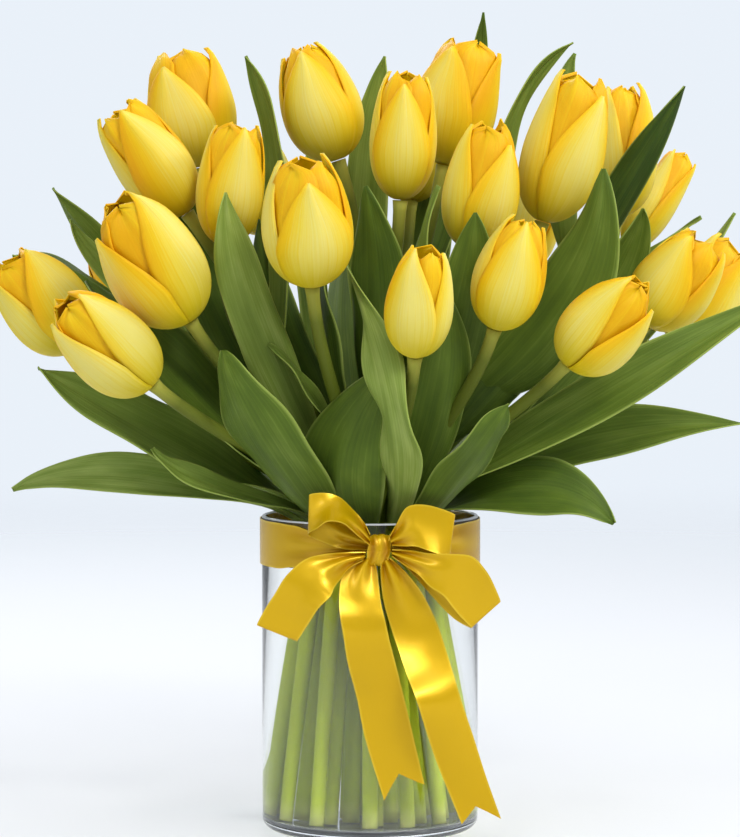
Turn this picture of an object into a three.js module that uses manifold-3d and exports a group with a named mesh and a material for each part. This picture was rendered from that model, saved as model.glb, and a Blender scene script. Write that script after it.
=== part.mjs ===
// A bunch of yellow tulips standing in a straight clear glass vase of water, with a satin ribbon tied round
// the top of the vase in a bow with two long tails.
// Millimetres, +Z up. The origin is the centre of the vase's underside. The bow hangs at the front, towards -Y.

import * as THREE from "three";
import { mergeVertices } from "three/addons/utils/BufferGeometryUtils.js";
import Module from "manifold-3d";

const wasm = await Module();
wasm.setup();

// Driving dimensions

const SEAT = 0.3; // what touching pieces keep between them
const VASE = { radius: 51, height: 148, wall: 1.9, base: 5, foot: 5, innerFoot: 4, rim: 0.8, sides: 24 };
const WATER = { level: 126, holeSlack: 0.35 };
const BAND = { bottom: 124, width: 22, thickness: 0.8 };
const KNOT = { centre: [4, -56.2, 136.5], width: 10.4, depth: 7, height: 15, corner: 1.6 };
const RIBBON = { thickness: 0.8, across: 2, notch: 8 };

// Where the stems stand in the vase: a ring's radius at their cut feet and at the neck of the bunch.
const NECK_HEIGHT = 128;
const RINGS = {
  outer: { foot: 37, neck: 21 },
  middle: { foot: 25, neck: 13 },
  inner: { foot: 10, neck: 5.5 },
};
const STEM = { radius: 3.3, sides: 5, steps: 4, lowerHandle: 0.3, upperHandle: 0.35 };

const LEAF = {
  thickness: 0.8,
  along: 5,
  across: 2,
  widest: 0.4, // share of the length where the blade is widest
  rootHalfWidth: 2.2, // where the midrib starts on the stem's own axis
  tipHalfWidth: 0.8,
  rootCurl: 0.9, // half the arc that the blade's section makes, in radians
  tipCurl: 0.4,
  rootTaper: 1.7, // powers of the outline's curves towards its two ends
  tipTaper: 0.85,
  turnedBy: 0.5, // share of the length where the blade has its whole turn
  wave: 1.6,
  waves: 1.25,
};

const BLOOM = {
  petalThickness: 0.9,
  rootHalfAngle: 0.42,
  start: 0.03, // share of the height where the petals leave the receptacle
  receptacleTop: 4,
  rowPower: 1.5, // above 1, the rows of a petal's faces crowd towards its root
};
const CUP = { turn: 0.8, skew: 0.62, fullness: 0.8, flare: 0.5 }; // the bloom's outline
const PETAL = { widest: 0.42, rootNarrowing: 0.5, tipFullness: 0.62, tipShare: 0.1 }; // one petal's outline
// The half angle is in radians, where the petal is widest.
const OUTER_PETAL = { across: 3, along: 4, reach: 1, length: 0.97, halfAngle: 0.94 };
const INNER_PETAL = { across: 2, along: 2, reach: 0.82, length: 1.0, halfAngle: 1.0 };
const PETALS = 6; // outer and inner ones in turn

// Each tulip: its stem's ring and its direction in degrees (0 is +X, 270 the front), the base of its bloom,
// the middle of its bloom's top, the bloom's width, how far its petals stand open (0 shut, 1 wide) and the
// turn in degrees of its front petal towards +X.
const TULIPS = {
  a: { ring: "middle", at: 140, base: [-80, 22, 312], top: [-91, 20, 367], width: 44, open: 0.42, turn: -25 },
  b: { ring: "middle", at: 185, base: [-85, -18, 290], top: [-118, -25, 339], width: 35, open: 0.45, turn: 18 },
  c: { ring: "middle", at: 230, base: [-67, -34, 275], top: [-60, -38, 331], width: 32, open: 0.5, turn: 20 },
  d: { ring: "inner", at: 135, base: [-15, 8, 315], top: [-33, 6, 369], width: 40, open: 0.05, turn: -8 },
  e: { ring: "middle", at: 275, base: [-26, -70, 257], top: [-30, -86, 315], width: 43, open: 0.18, turn: 10 },
  f: { ring: "inner", at: 225, base: [14, -24, 296], top: [17, -26, 355], width: 32, open: 0.4, turn: 0 },
  g: { ring: "inner", at: 45, base: [35, 25, 313], top: [47.5, 28, 372], width: 41, open: 0.5, turn: -35 },
  h: { ring: "inner", at: 315, base: [46, -34, 273], top: [56, -40, 332], width: 36, open: 0.3, turn: 35 },
  i: { ring: "middle", at: 320, base: [80.5, -8, 286], top: [101, -12, 354.5], width: 39, open: 0.45, turn: 30 },
  j: { ring: "middle", at: 5, base: [118, 38, 288], top: [121, 40, 352], width: 36, open: 0.3, turn: 60 },
  k: { ring: "outer", at: 52, base: [125, 62, 273], top: [155, 84, 319], width: 21, open: 0.6, turn: 60 },
  l: { ring: "outer", at: 352, base: [128, -16, 238], top: [156, -24, 278], width: 38, open: 0.38, turn: -30 },
  m: { ring: "outer", at: 22, base: [146, 26, 228], top: [174, 24, 276], width: 36, open: 0.4, turn: 30 },
  n: { ring: "outer", at: 322, base: [89, -66, 222], top: [121, -88, 259], width: 37, open: 0.1, turn: 60 },
  o: { ring: "outer", at: 296, base: [56, -72, 238], top: [70, -84, 287], width: 34, open: 0.1, turn: 5 },
  p: { ring: "outer", at: 270, base: [20, -88, 226], top: [24, -104, 276], width: 31, open: 0.25, turn: -30 },
  q: { ring: "outer", at: 232, base: [-82, -50, 241], top: [-114, -68, 296], width: 46, open: 0.32, turn: -60 },
  r: { ring: "outer", at: 172, base: [-137, 4, 226.5], top: [-171, 0, 269], width: 41, open: 0.45, turn: 40 },
  s: { ring: "outer", at: 202, base: [-98, -68, 213], top: [-137, -90, 251], width: 38, open: 0.25, turn: -60 },
  t: { ring: "middle", at: 95, base: [-52, 80, 280], top: [-58, 96, 328], width: 38, open: 0.3, turn: 160 },
  u: { ring: "middle", at: 50, base: [20, 75, 296], top: [24, 90, 353], width: 38, open: 0.2, turn: 180 },
  v: { ring: "outer", at: 82, base: [70, 95, 262], top: [86, 120, 311], width: 37, open: 0.35, turn: 210 },
  w: { ring: "outer", at: 142, base: [-105, 80, 235], top: [-134, 106, 277], width: 38, open: 0.4, turn: 150 },
  x: { ring: "outer", at: 112, base: [5, 125, 228], top: [4, 157, 274], width: 38, open: 0.3, turn: 190 },
};

// Each leaf: the tulip whose stem it grows on, the height at which it leaves the stem, a point that its
// midrib passes half way, its tip, its greatest width and the turn of its blade in degrees from root to tip.
const LEAVES = [
  // the front, from left to right
  { stem: "q", height: 136, half: [-49, -67, 187], tip: [-66, -72, 228], width: 42, turn: 0 },
  { stem: "p", height: 138, half: [-14.6, -54.6, 176], tip: [11, -51, 221], width: 46, turn: 0 },
  { stem: "o", height: 146, half: [9.4, -87, 200], tip: [-10, -46, 266], width: 23, turn: 0 },
  { stem: "o", height: 142, half: [32, -60, 205], tip: [33, -64, 257], width: 30, turn: 0 },
  { stem: "n", height: 136, half: [45, -80, 178], tip: [61, -94, 205], width: 24, turn: 0 },
  { stem: "e", height: 165, half: [-27, -38, 206], tip: [-46, -46, 230], width: 12, turn: 0 },
  { stem: "c", height: 165, half: [-53, -50, 245], tip: [-65, -60, 299], width: 25, turn: 0 },
  { stem: "f", height: 185, half: [3, -34, 250], tip: [-2, -42, 302], width: 32, turn: 0 },
  { stem: "h", height: 195, half: [20, -42, 258], tip: [31, -58, 302], width: 16, turn: 0 },
  { stem: "i", height: 150, half: [39.5, -46, 232], tip: [47.5, -60, 290], width: 33, turn: 0 },
  // the left side
  { stem: "s", height: 142, half: [-86, -31.5, 212], tip: [-132, -20, 258], width: 44, turn: -25 },
  { stem: "s", height: 148, half: [-76, -36, 166], tip: [-100, -42, 182], width: 13, turn: -40 },
  { stem: "r", height: 144, half: [-95.5, -14, 184.5], tip: [-155, -12, 217.5], width: 36, turn: -60 },
  { stem: "r", height: 142, half: [-109, 10, 165.5], tip: [-170, 14, 158.5], width: 22, turn: -65 },
  { stem: "r", height: 170, half: [-122, 26, 248], tip: [-171, 30, 269], width: 27, turn: -60 },
  { stem: "b", height: 170, half: [-105, 10, 243], tip: [-142, 12, 287], width: 14, turn: -50 },
  { stem: "w", height: 175, half: [-110, 38, 250], tip: [-152, 34, 302], width: 24, turn: -50 },
  { stem: "b", height: 160, half: [-72.5, 0.5, 236], tip: [-83, 6, 302], width: 32, turn: -60 },
  // the top
  { stem: "c", height: 205, half: [-41, -9, 300], tip: [-58, -6, 363], width: 23.5, turn: 0 },
  { stem: "d", height: 225, half: [-1, 32, 305], tip: [7, 36, 365], width: 22, turn: 0 },
  { stem: "g", height: 235, half: [44, 50, 315], tip: [55, 54, 387], width: 17, turn: 0 },
  { stem: "i", height: 240, half: [65, 26, 326], tip: [97, 30, 371], width: 13, turn: 0 },
  { stem: "j", height: 240, half: [90, 47, 318], tip: [99, 50, 367], width: 20, turn: 60 },
  // the right side
  { stem: "j", height: 200, half: [111, 8, 287], tip: [147, -4, 349], width: 20, turn: 50 },
  { stem: "i", height: 190, half: [86, -36, 246], tip: [107, -38, 310], width: 41, turn: -60 },
  { stem: "l", height: 190, half: [112, 2, 250], tip: [128, -4, 292], width: 26, turn: -50 },
  { stem: "k", height: 195, half: [118, 46, 256], tip: [160, 46, 288], width: 15, turn: 30 },
  { stem: "m", height: 185, half: [142, 50, 246], tip: [178, 62, 290], width: 21, turn: 45 },
  { stem: "n", height: 152, half: [105, -46, 205.5], tip: [188, -22, 252], width: 26, turn: 50 },
  { stem: "m", height: 146, half: [92, 6, 180], tip: [176, 10, 190.5], width: 34, turn: 60 },
  { stem: "l", height: 150, half: [98, -22, 198], tip: [129, -26, 231], width: 20, turn: 60 },
  { stem: "n", height: 142, half: [73, -38, 163], tip: [112, -44, 147.5], width: 33, turn: 50 },
  // deep inside
  { stem: "d", height: 160, half: [-39.5, -4, 227.5], tip: [-52, 3, 287], width: 25.5, turn: 60 },
  { stem: "f", height: 160, half: [-20, -15, 225], tip: [-22, -19, 277], width: 38, turn: 0 },
  { stem: "i", height: 165, half: [62, -20, 212], tip: [90, -14, 254], width: 26, turn: -40 },
  // the back
  { stem: "k", height: 146, half: [85, 58, 190], tip: [150, 92, 230], width: 28, turn: 0 },
  { stem: "v", height: 144, half: [48, 95, 185], tip: [84, 150, 205], width: 30, turn: 0 },
  { stem: "v", height: 170, half: [52, 66, 240], tip: [52, 104, 322], width: 40, turn: 0 },
  { stem: "x", height: 144, half: [-10, 92, 176], tip: [-16, 160, 184], width: 30, turn: 0 },
  { stem: "x", height: 165, half: [-15, 92, 229], tip: [-8, 140, 290], width: 32, turn: 0 },
  { stem: "w", height: 144, half: [-84, 74, 178], tip: [-138, 112, 192], width: 30, turn: 0 },
  { stem: "u", height: 170, half: [24, 62, 250], tip: [40, 112, 340], width: 38, turn: 0 },
  { stem: "t", height: 175, half: [-28, 60, 270], tip: [-20, 78, 352], width: 36, turn: 0 },
];

// The bow. Each loop leaves the knot's side, folds over far out and comes back behind itself; its two edges
// are given from the front of the knot to the back. Each tail is given from the knot down to its V cut end.
const BOW = {
  bow_loop_upper_left: {
    upper: [
      [-1.6, -58.6, 141], [-3, -60, 149], [-8, -60, 155], [-14, -60, 161], [-21, -61, 163],
      [-27.5, -60, 162], [-22, -56.5, 158], [-12, -55.8, 149], [-1.6, -55, 141],
    ],
    lower: [
      [-1.6, -58.6, 137.5], [-6, -66, 146], [-12, -71, 151], [-19, -72, 151], [-24, -69, 147.5],
      [-28, -63, 144], [-21, -58, 141], [-12, -56.5, 139], [-1.6, -55, 137.5],
    ],
  },
  bow_loop_upper_right: {
    upper: [
      [9.6, -58.6, 141], [12, -61, 149], [16, -63, 156], [21, -64, 158], [29, -63, 157],
      [38.5, -60, 153], [30, -57, 152], [18, -56, 147], [9.6, -55, 141],
    ],
    lower: [
      [9.6, -58.6, 137.5], [16, -64, 139], [21, -66, 139], [27, -68, 137.6], [33, -67, 136.6],
      [36, -63, 134.6], [28, -58, 132], [18, -56.5, 135.5], [9.6, -55, 137.5],
    ],
  },
  bow_loop_lower_left: {
    upper: [
      [-1.6, -58.6, 136], [-12, -63, 136], [-22, -66, 135.5], [-30, -68, 133], [-38, -70, 126], [-43, -69, 118],
      [-48, -67, 110], [-51, -65, 103.5], [-41, -60, 117], [-26, -57, 128], [-10, -55.5, 133], [-1.6, -55, 135],
    ],
    lower: [
      [-1.6, -58.6, 132], [-9, -61, 129], [-13, -66, 124.5], [-16, -71, 121], [-18, -74, 117], [-23, -74, 112],
      [-28, -70, 104], [-33, -66, 96], [-26, -60, 108], [-16, -57, 120], [-7, -55.5, 130], [-1.6, -55, 132],
    ],
  },
  bow_loop_lower_right: {
    upper: [
      [9.6, -58.6, 136], [18, -63, 137], [27, -66, 136], [37, -69, 136], [46, -70, 135], [52, -69, 129],
      [56, -66, 122], [59, -62, 113.5], [50, -59, 124], [36, -56, 131], [20, -55, 136], [9.6, -55, 136],
    ],
    lower: [
      [9.6, -58.6, 132], [16, -62, 130], [22, -65, 126], [27, -67, 121], [33, -68, 117], [37, -67, 112],
      [41, -65, 107], [46, -62, 101.5], [38, -57.5, 105.5], [28, -54.5, 115.5], [18, -54.5, 127], [9.6, -55, 132],
    ],
  },
};
const TAILS = {
  bow_tail_left: {
    left: [
      [0, -57.8, 128.7], [-9, -58, 128.5], [-13, -60, 124], [-14, -63.5, 116], [-13.5, -67.5, 107],
      [-12, -67.5, 98], [-10, -63, 85], [-6, -57, 69], [-2, -54.5, 49], [6.5, -54, 21],
    ],
    right: [
      [4, -57.8, 128.7], [3.5, -58, 126], [4, -60, 121], [5, -63.5, 113], [7, -67, 105],
      [9, -67, 96], [12, -62.5, 84], [16, -57, 67], [20, -54.5, 50], [25, -54, 28.5],
    ],
  },
  bow_tail_right: {
    left: [
      [4.5, -55.4, 128.7], [5, -57, 124], [6, -57.5, 114], [9, -59, 103], [13, -62.5, 91], [17, -67.5, 80],
      [21, -72.5, 70], [24, -70.5, 60], [29, -64, 44], [35, -59, 28], [42, -56, 10.5],
    ],
    right: [
      [8.5, -55.4, 128.7], [14, -57.5, 127], [21, -58, 121], [26, -58, 113], [31, -58, 102], [35, -61.5, 90],
      [39, -66.5, 77], [42, -66.5, 67], [47, -63, 52], [53, -59, 33], [60, -56, 13],
    ],
  },
};

// Materials

const clear = { roughness: 0.05, metalness: 0, transparent: true, opacity: 0.35 };
const materials = {
  glass: new THREE.MeshStandardMaterial({ color: 0xe6eef0, ...clear }),
  water: new THREE.MeshStandardMaterial({ color: 0xdfe9ea, ...clear }),
  ribbon: new THREE.MeshStandardMaterial({ color: 0xd9a81c, roughness: 0.35, metalness: 0 }),
  petal: new THREE.MeshStandardMaterial({ color: 0xf0c81e, roughness: 0.55, metalness: 0 }),
  leaf: new THREE.MeshStandardMaterial({ color: 0x5f8a34, roughness: 0.5, metalness: 0 }),
};

// Small helpers

const UP = new THREE.Vector3(0, 0, 1);

const vector = (point) => new THREE.Vector3(...point);

// The part of a vector that stands square to a direction, at length 1.
function squareTo(direction, v) {
  return v.clone().addScaledVector(direction, -v.dot(direction)).normalize();
}

function polar(radius, degrees, height) {
  const angle = THREE.MathUtils.degToRad(degrees);
  return new THREE.Vector3(radius * Math.cos(angle), radius * Math.sin(angle), height);
}

function solidOf(geometry) {
  geometry.deleteAttribute("normal");
  geometry.deleteAttribute("uv");
  const merged = mergeVertices(geometry, 1e-3);
  return new wasm.Manifold(
    new wasm.Mesh({
      numProp: 3,
      vertProperties: new Float32Array(merged.attributes.position.array),
      triVerts: new Uint32Array(merged.index.array),
    }),
  );
}

const fuse = (solids) => solids.reduce((whole, piece) => whole.add(piece));

function meshOf(name, solid, material) {
  const { vertProperties, triVerts } = solid.getMesh();
  const geometry = new THREE.BufferGeometry();
  geometry.setAttribute("position", new THREE.BufferAttribute(vertProperties, 3));
  geometry.setIndex(new THREE.BufferAttribute(triVerts, 1));
  const mesh = new THREE.Mesh(geometry, material);
  mesh.name = name;
  return mesh;
}

// A closed body turned round the Z axis from a profile of [radius, height] pairs.
function turned(profile, sides) {
  const points = profile.map(([radius, height]) => new THREE.Vector2(radius, height));
  return solidOf(new THREE.LatheGeometry(points, sides).rotateX(Math.PI / 2));
}

// Points and faces gathered for one closed body.
class Faces {
  positions = [];
  index = [];

  point(p) {
    this.positions.push(p.x, p.y, p.z);
    return this.positions.length / 3 - 1;
  }

  // A four-sided face, its corners counterclockwise as seen from outside.
  quad(a, b, c, d) {
    this.index.push(a, b, c, a, c, d);
  }

  // The two faces and three of the four rims of a thin sheet round the surface pointAt(u, v), u and v from
  // 0 to 1. Both faces are split into triangles alike. Returns the open rim's points, where v is 0.
  openSheet(pointAt, across, along, thickness) {
    const middle = Array.from({ length: along + 1 }, (_, j) =>
      Array.from({ length: across + 1 }, (_, i) => pointAt(i / across, j / along)),
    );
    const at = (i, j) => middle[THREE.MathUtils.clamp(j, 0, along)][THREE.MathUtils.clamp(i, 0, across)];
    const skin = (side) =>
      middle.map((row, j) =>
        row.map((p, i) => {
          const alongU = at(i + 1, j).clone().sub(at(i - 1, j));
          const alongV = at(i, j + 1).clone().sub(at(i, j - 1));
          const normal = alongU.cross(alongV).normalize();
          return this.point(p.clone().addScaledVector(normal, (side * thickness) / 2));
        }),
      );
    const [front, back] = [skin(1), skin(-1)];
    for (let j = 0; j < along; j++) {
      for (let i = 0; i < across; i++) {
        this.quad(front[j][i], front[j][i + 1], front[j + 1][i + 1], front[j + 1][i]);
        this.index.push(back[j][i], back[j + 1][i + 1], back[j][i + 1]);
        this.index.push(back[j][i], back[j + 1][i], back[j + 1][i + 1]);
      }
      this.quad(front[j + 1][0], back[j + 1][0], back[j][0], front[j][0]);
      this.quad(front[j][across], back[j][across], back[j + 1][across], front[j + 1][across]);
    }
    for (let i = 0; i < across; i++) {
      this.quad(front[along][i + 1], back[along][i + 1], back[along][i], front[along][i]);
    }
    return { front: front[0], back: back[0] };
  }

  solid() {
    const geometry = new THREE.BufferGeometry();
    geometry.setAttribute("position", new THREE.Float32BufferAttribute(this.positions, 3));
    geometry.setIndex(this.index);
    return solidOf(geometry);
  }
}

// A thin closed body on both sides of the surface pointAt(u, v).
function sheet(pointAt, across, along, thickness) {
  const faces = new Faces();
  const { front, back } = faces.openSheet(pointAt, across, along, thickness);
  for (let i = 0; i < across; i++) faces.quad(front[i], back[i], back[i + 1], front[i + 1]);
  return faces.solid();
}

// A closed tube through a list of places, each with a centre and the direction forward there.
function tube(places, radius, sides) {
  const faces = new Faces();
  let side = new THREE.Vector3(1, 0, 0);
  const rings = places.map(({ centre, forward }) => {
    side = squareTo(forward, side);
    const other = forward.clone().cross(side);
    return Array.from({ length: sides }, (_, i) => {
      const angle = (i / sides) * 2 * Math.PI;
      const point = centre.clone().addScaledVector(side, radius * Math.cos(angle));
      return faces.point(point.addScaledVector(other, radius * Math.sin(angle)));
    });
  });
  for (let k = 0; k < rings.length - 1; k++) {
    for (let i = 0; i < sides; i++) {
      const next = (i + 1) % sides;
      faces.quad(rings[k][i], rings[k][next], rings[k + 1][next], rings[k + 1][i]);
    }
  }
  const [first, last] = [rings[0], rings.at(-1)];
  for (let i = 1; i < sides - 1; i++) {
    faces.index.push(first[0], first[i + 1], first[i]);
    faces.index.push(last[0], last[i], last[i + 1]);
  }
  return faces.solid();
}

// Quarter circle of profile points round a centre, from one angle to another in degrees.
function arc(centreRadius, centreHeight, radius, from, to, steps = 2) {
  return Array.from({ length: steps + 1 }, (_, k) => {
    const angle = THREE.MathUtils.degToRad(from + ((to - from) * k) / steps);
    return [centreRadius + radius * Math.cos(angle), centreHeight + radius * Math.sin(angle)];
  });
}

// Vase and water

const innerRadius = VASE.radius - VASE.wall;

function vaseSolid() {
  return turned(
    [
      [0, 0],
      ...arc(VASE.radius - VASE.foot, VASE.foot, VASE.foot, -90, 0),
      ...arc(VASE.radius - VASE.rim, VASE.height - VASE.rim, VASE.rim, 0, 90),
      ...arc(innerRadius + VASE.rim, VASE.height - VASE.rim, VASE.rim, 90, 180),
      ...arc(innerRadius - VASE.innerFoot, VASE.base + VASE.innerFoot, VASE.innerFoot, 0, -90),
      [0, VASE.base],
    ],
    VASE.sides,
  );
}

function waterSolid(stems) {
  const radius = innerRadius - SEAT;
  const bottom = VASE.base + SEAT;
  const profile = [
    [0, bottom],
    [radius - VASE.innerFoot, bottom],
    [radius, bottom + VASE.innerFoot],
    [radius, WATER.level],
    [0, WATER.level],
  ];
  const holes = stems.map(({ foot, neck, lean }) => {
    const below = foot.clone().addScaledVector(lean, -STEM.radius);
    const places = [
      { centre: below, forward: UP },
      { centre: neck, forward: lean },
    ];
    return tube(places, STEM.radius + WATER.holeSlack, STEM.sides);
  });
  return holes.reduce((water, hole) => water.subtract(hole), turned(profile, VASE.sides));
}

// Stems

function stemOf(tulip) {
  const ring = RINGS[tulip.ring];
  const foot = polar(ring.foot, tulip.at, VASE.base + SEAT);
  const neck = polar(ring.neck, tulip.at, NECK_HEIGHT);
  const base = vector(tulip.base);
  const bloomAxis = vector(tulip.top).sub(base).normalize();
  const end = base.addScaledVector(bloomAxis, -SEAT);
  const reach = neck.distanceTo(end);
  const lean = neck.clone().sub(foot).normalize();
  const upper = new THREE.CubicBezierCurve3(
    neck,
    neck.clone().addScaledVector(lean, STEM.lowerHandle * reach),
    end.clone().addScaledVector(bloomAxis, -STEM.upperHandle * reach),
    end,
  );
  return { foot, neck, lean, upper };
}

function stemSolid({ foot, upper }) {
  const places = [{ centre: foot, forward: UP }];
  for (let k = 0; k <= STEM.steps; k++) {
    places.push({ centre: upper.getPoint(k / STEM.steps), forward: upper.getTangent(k / STEM.steps) });
  }
  return tube(places, STEM.radius, STEM.sides);
}

// The share of a rising curve where it passes a height, found by halving.
function shareAtHeight(curve, height) {
  const finest = 1e-6;
  let [low, high] = [0, 1];
  while (high - low > finest) {
    const share = (low + high) / 2;
    if (curve.getPoint(share).z < height) {
      low = share;
    } else {
      high = share;
    }
  }
  return low;
}

// Leaves

// Half the blade's width at a share of its length.
function bladeHalfWidth(share, width) {
  const half = width / 2;
  if (share < LEAF.widest) {
    return half - (half - LEAF.rootHalfWidth) * ((LEAF.widest - share) / LEAF.widest) ** LEAF.rootTaper;
  }
  const past = (share - LEAF.widest) / (1 - LEAF.widest);
  return Math.max(half * (1 - past ** 2) ** LEAF.tipTaper, LEAF.tipHalfWidth);
}

// The blade's places along the midrib: the side direction starts square to the stem, is carried along, and is
// turned about the midrib by the leaf's own turn.
function bladePlaces(midrib, outward, turn) {
  let side = midrib.getTangent(0).cross(outward).normalize();
  return Array.from({ length: LEAF.along + 1 }, (_, k) => {
    const share = k / LEAF.along;
    const forward = midrib.getTangent(share);
    side = squareTo(forward, side);
    const turnHere = THREE.MathUtils.degToRad(THREE.MathUtils.smoothstep(share, 0, LEAF.turnedBy) * turn);
    const turnedSide = side.clone().applyAxisAngle(forward, turnHere);
    return { centre: midrib.getPoint(share), side: turnedSide, inward: forward.clone().cross(turnedSide) };
  });
}

function leafSolid(stem, leaf) {
  const share = shareAtHeight(stem.upper, leaf.height);
  const root = stem.upper.getPoint(share);
  const half = vector(leaf.half);
  const tip = vector(leaf.tip);
  const outward = squareTo(stem.upper.getTangent(share), half.clone().sub(root));
  const bend = half.multiplyScalar(2).sub(root.clone().add(tip).multiplyScalar(0.5));
  const places = bladePlaces(new THREE.QuadraticBezierCurve3(root, bend, tip), outward, leaf.turn);
  const pointAt = (u, v) => {
    const { centre, side, inward } = places[Math.round(v * LEAF.along)];
    const s = 2 * u - 1;
    const curl = LEAF.tipCurl + (LEAF.rootCurl - LEAF.tipCurl) * (1 - v) ** 2;
    const radius = bladeHalfWidth(v, leaf.width) / curl;
    const wave = LEAF.wave * s * s * Math.sin(2 * Math.PI * LEAF.waves * v + s) * v;
    const point = centre.clone().addScaledVector(side, radius * Math.sin(s * curl));
    return point.addScaledVector(inward, radius * (1 - Math.cos(s * curl)) + wave);
  };
  return sheet(pointAt, LEAF.across, LEAF.along, LEAF.thickness);
}

function leafyStemSolid(letter, stem) {
  const leaves = LEAVES.filter((leaf) => leaf.stem === letter);
  return fuse([stemSolid(stem), ...leaves.map((leaf) => leafSolid(stem, leaf))]);
}

// Blooms

// The cup's radius at a share of its height, where the widest is about 1.
function cupProfile(share, open) {
  return Math.sin(Math.PI * (CUP.turn * share) ** CUP.skew) ** CUP.fullness + CUP.flare * open * share ** 3;
}

// Half a petal's width at a share of its length, where the widest is 1.
function petalShape(share) {
  if (share < PETAL.widest) {
    return 1 - PETAL.rootNarrowing * ((PETAL.widest - share) / PETAL.widest) ** 2;
  }
  const past = (share - PETAL.widest) / (1 - PETAL.widest);
  return Math.max((1 - past ** 2) ** PETAL.tipFullness, PETAL.tipShare);
}

// A petal's middle surface: u runs across it and v from its root to its tip.
function petalSurface(bloom, petal, middleAngle) {
  return (u, v) => {
    const share = BLOOM.start + (1 - BLOOM.start) * v ** BLOOM.rowPower;
    const radius = bloom.radius * petal.reach * cupProfile(share, bloom.open);
    const spread = (bloom.radius * petal.reach * petalShape(share)) / radius;
    const halfAngle = v === 0 ? BLOOM.rootHalfAngle : petal.halfAngle * Math.min(1, spread);
    const angle = middleAngle + (2 * u - 1) * halfAngle;
    const point = bloom.base.clone().addScaledVector(bloom.front, radius * Math.cos(angle));
    point.addScaledVector(bloom.side, radius * Math.sin(angle));
    return point.addScaledVector(bloom.axis, bloom.height * petal.length * share);
  };
}

// Six petals, each closed but for its root, and the receptacle that closes them all: a shallow cone below
// and above, with its rim made of the petals' roots.
function bloomSolid(tulip) {
  const base = vector(tulip.base);
  const along = vector(tulip.top).sub(base);
  const axis = along.clone().normalize();
  const front = squareTo(axis, new THREE.Vector3(0, -1, 0));
  const side = axis.clone().cross(front);
  const [height, radius] = [along.length(), tulip.width / 2];
  const bloom = { base, axis, front, side, height, radius, open: tulip.open };
  const faces = new Faces();
  const roots = Array.from({ length: PETALS }, (_, k) => {
    const petal = k % 2 ? INNER_PETAL : OUTER_PETAL;
    const angle = THREE.MathUtils.degToRad(tulip.turn) + (k * 2 * Math.PI) / PETALS;
    const surface = petalSurface(bloom, petal, angle);
    return faces.openSheet(surface, petal.across, petal.along, BLOOM.petalThickness);
  });
  const lower = faces.point(base);
  const upper = faces.point(base.clone().addScaledVector(axis, BLOOM.receptacleTop));
  roots.forEach(({ front: below, back: above }, k) => {
    const next = roots[(k + 1) % PETALS];
    faces.quad(below.at(-1), next.front[0], next.back[0], above.at(-1));
    const rimBelow = [...below, next.front[0]];
    const rimAbove = [...above, next.back[0]];
    for (let i = 0; i < rimBelow.length - 1; i++) {
      faces.index.push(lower, rimBelow[i + 1], rimBelow[i]);
      faces.index.push(upper, rimAbove[i], rimAbove[i + 1]);
    }
  });
  return faces.solid();
}

// Ribbon

function bandSolid() {
  const inner = VASE.radius + SEAT;
  const outer = inner + BAND.thickness;
  const [bottom, top] = [BAND.bottom, BAND.bottom + BAND.width];
  const profile = [
    [inner, bottom],
    [outer, bottom],
    [outer, top],
    [inner, top],
    [inner, bottom],
  ];
  return turned(profile, VASE.sides);
}

function knotSolid() {
  const { width, depth, height, corner } = KNOT;
  const outline = new THREE.Shape();
  const [x, z] = [width / 2, height / 2];
  outline.moveTo(corner - x, -z);
  outline.lineTo(x - corner, -z);
  outline.lineTo(x, corner - z);
  outline.lineTo(x, z - corner);
  outline.lineTo(x - corner, z);
  outline.lineTo(corner - x, z);
  outline.lineTo(-x, z - corner);
  outline.lineTo(-x, corner - z);
  outline.closePath();
  const geometry = new THREE.ExtrudeGeometry(outline, { depth, bevelEnabled: false });
  geometry.rotateX(Math.PI / 2).translate(KNOT.centre[0], KNOT.centre[1] + depth / 2, KNOT.centre[2]);
  return solidOf(geometry);
}

// A strip of ribbon between two edges, each a smooth curve through its points, with a row of faces between
// each two points. A notch sets the middle of its far end back, for a V cut end.
function stripSolid(edgeA, edgeB, notch) {
  const steps = edgeA.length - 1;
  const smooth = (edge) => new THREE.CatmullRomCurve3(edge.map(vector), false, "centripetal");
  const [first, second] = [smooth(edgeA), smooth(edgeB)];
  const middle = 0.5;
  const pointAt = (u, v) => {
    const point = first.getPoint(v).lerp(second.getPoint(v), u);
    if (v === 1 && u === middle) {
      point.addScaledVector(first.getTangent(1), -notch);
    }
    return point;
  };
  return sheet(pointAt, RIBBON.across, steps, RIBBON.thickness);
}

// The whole

function tulipBunch() {
  const group = new THREE.Group();
  const stems = Object.entries(TULIPS).map(([letter, tulip]) => ({ letter, tulip, ...stemOf(tulip) }));
  group.add(meshOf("vase", vaseSolid(), materials.glass));
  group.add(meshOf("water", waterSolid(stems), materials.water));
  group.add(meshOf("ribbon_band", bandSolid(), materials.ribbon));
  group.add(meshOf("bow_knot", knotSolid(), materials.ribbon));
  for (const [name, { upper, lower }] of Object.entries(BOW)) {
    group.add(meshOf(name, stripSolid(upper, lower, 0), materials.ribbon));
  }
  for (const [name, { left, right }] of Object.entries(TAILS)) {
    group.add(meshOf(name, stripSolid(left, right, RIBBON.notch), materials.ribbon));
  }
  for (const stem of stems) {
    group.add(meshOf(`tulip_${stem.letter}_leafy_stem`, leafyStemSolid(stem.letter, stem), materials.leaf));
    group.add(meshOf(`tulip_${stem.letter}_bloom`, bloomSolid(stem.tulip), materials.petal));
  }
  return group;
}

export default tulipBunch();
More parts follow.
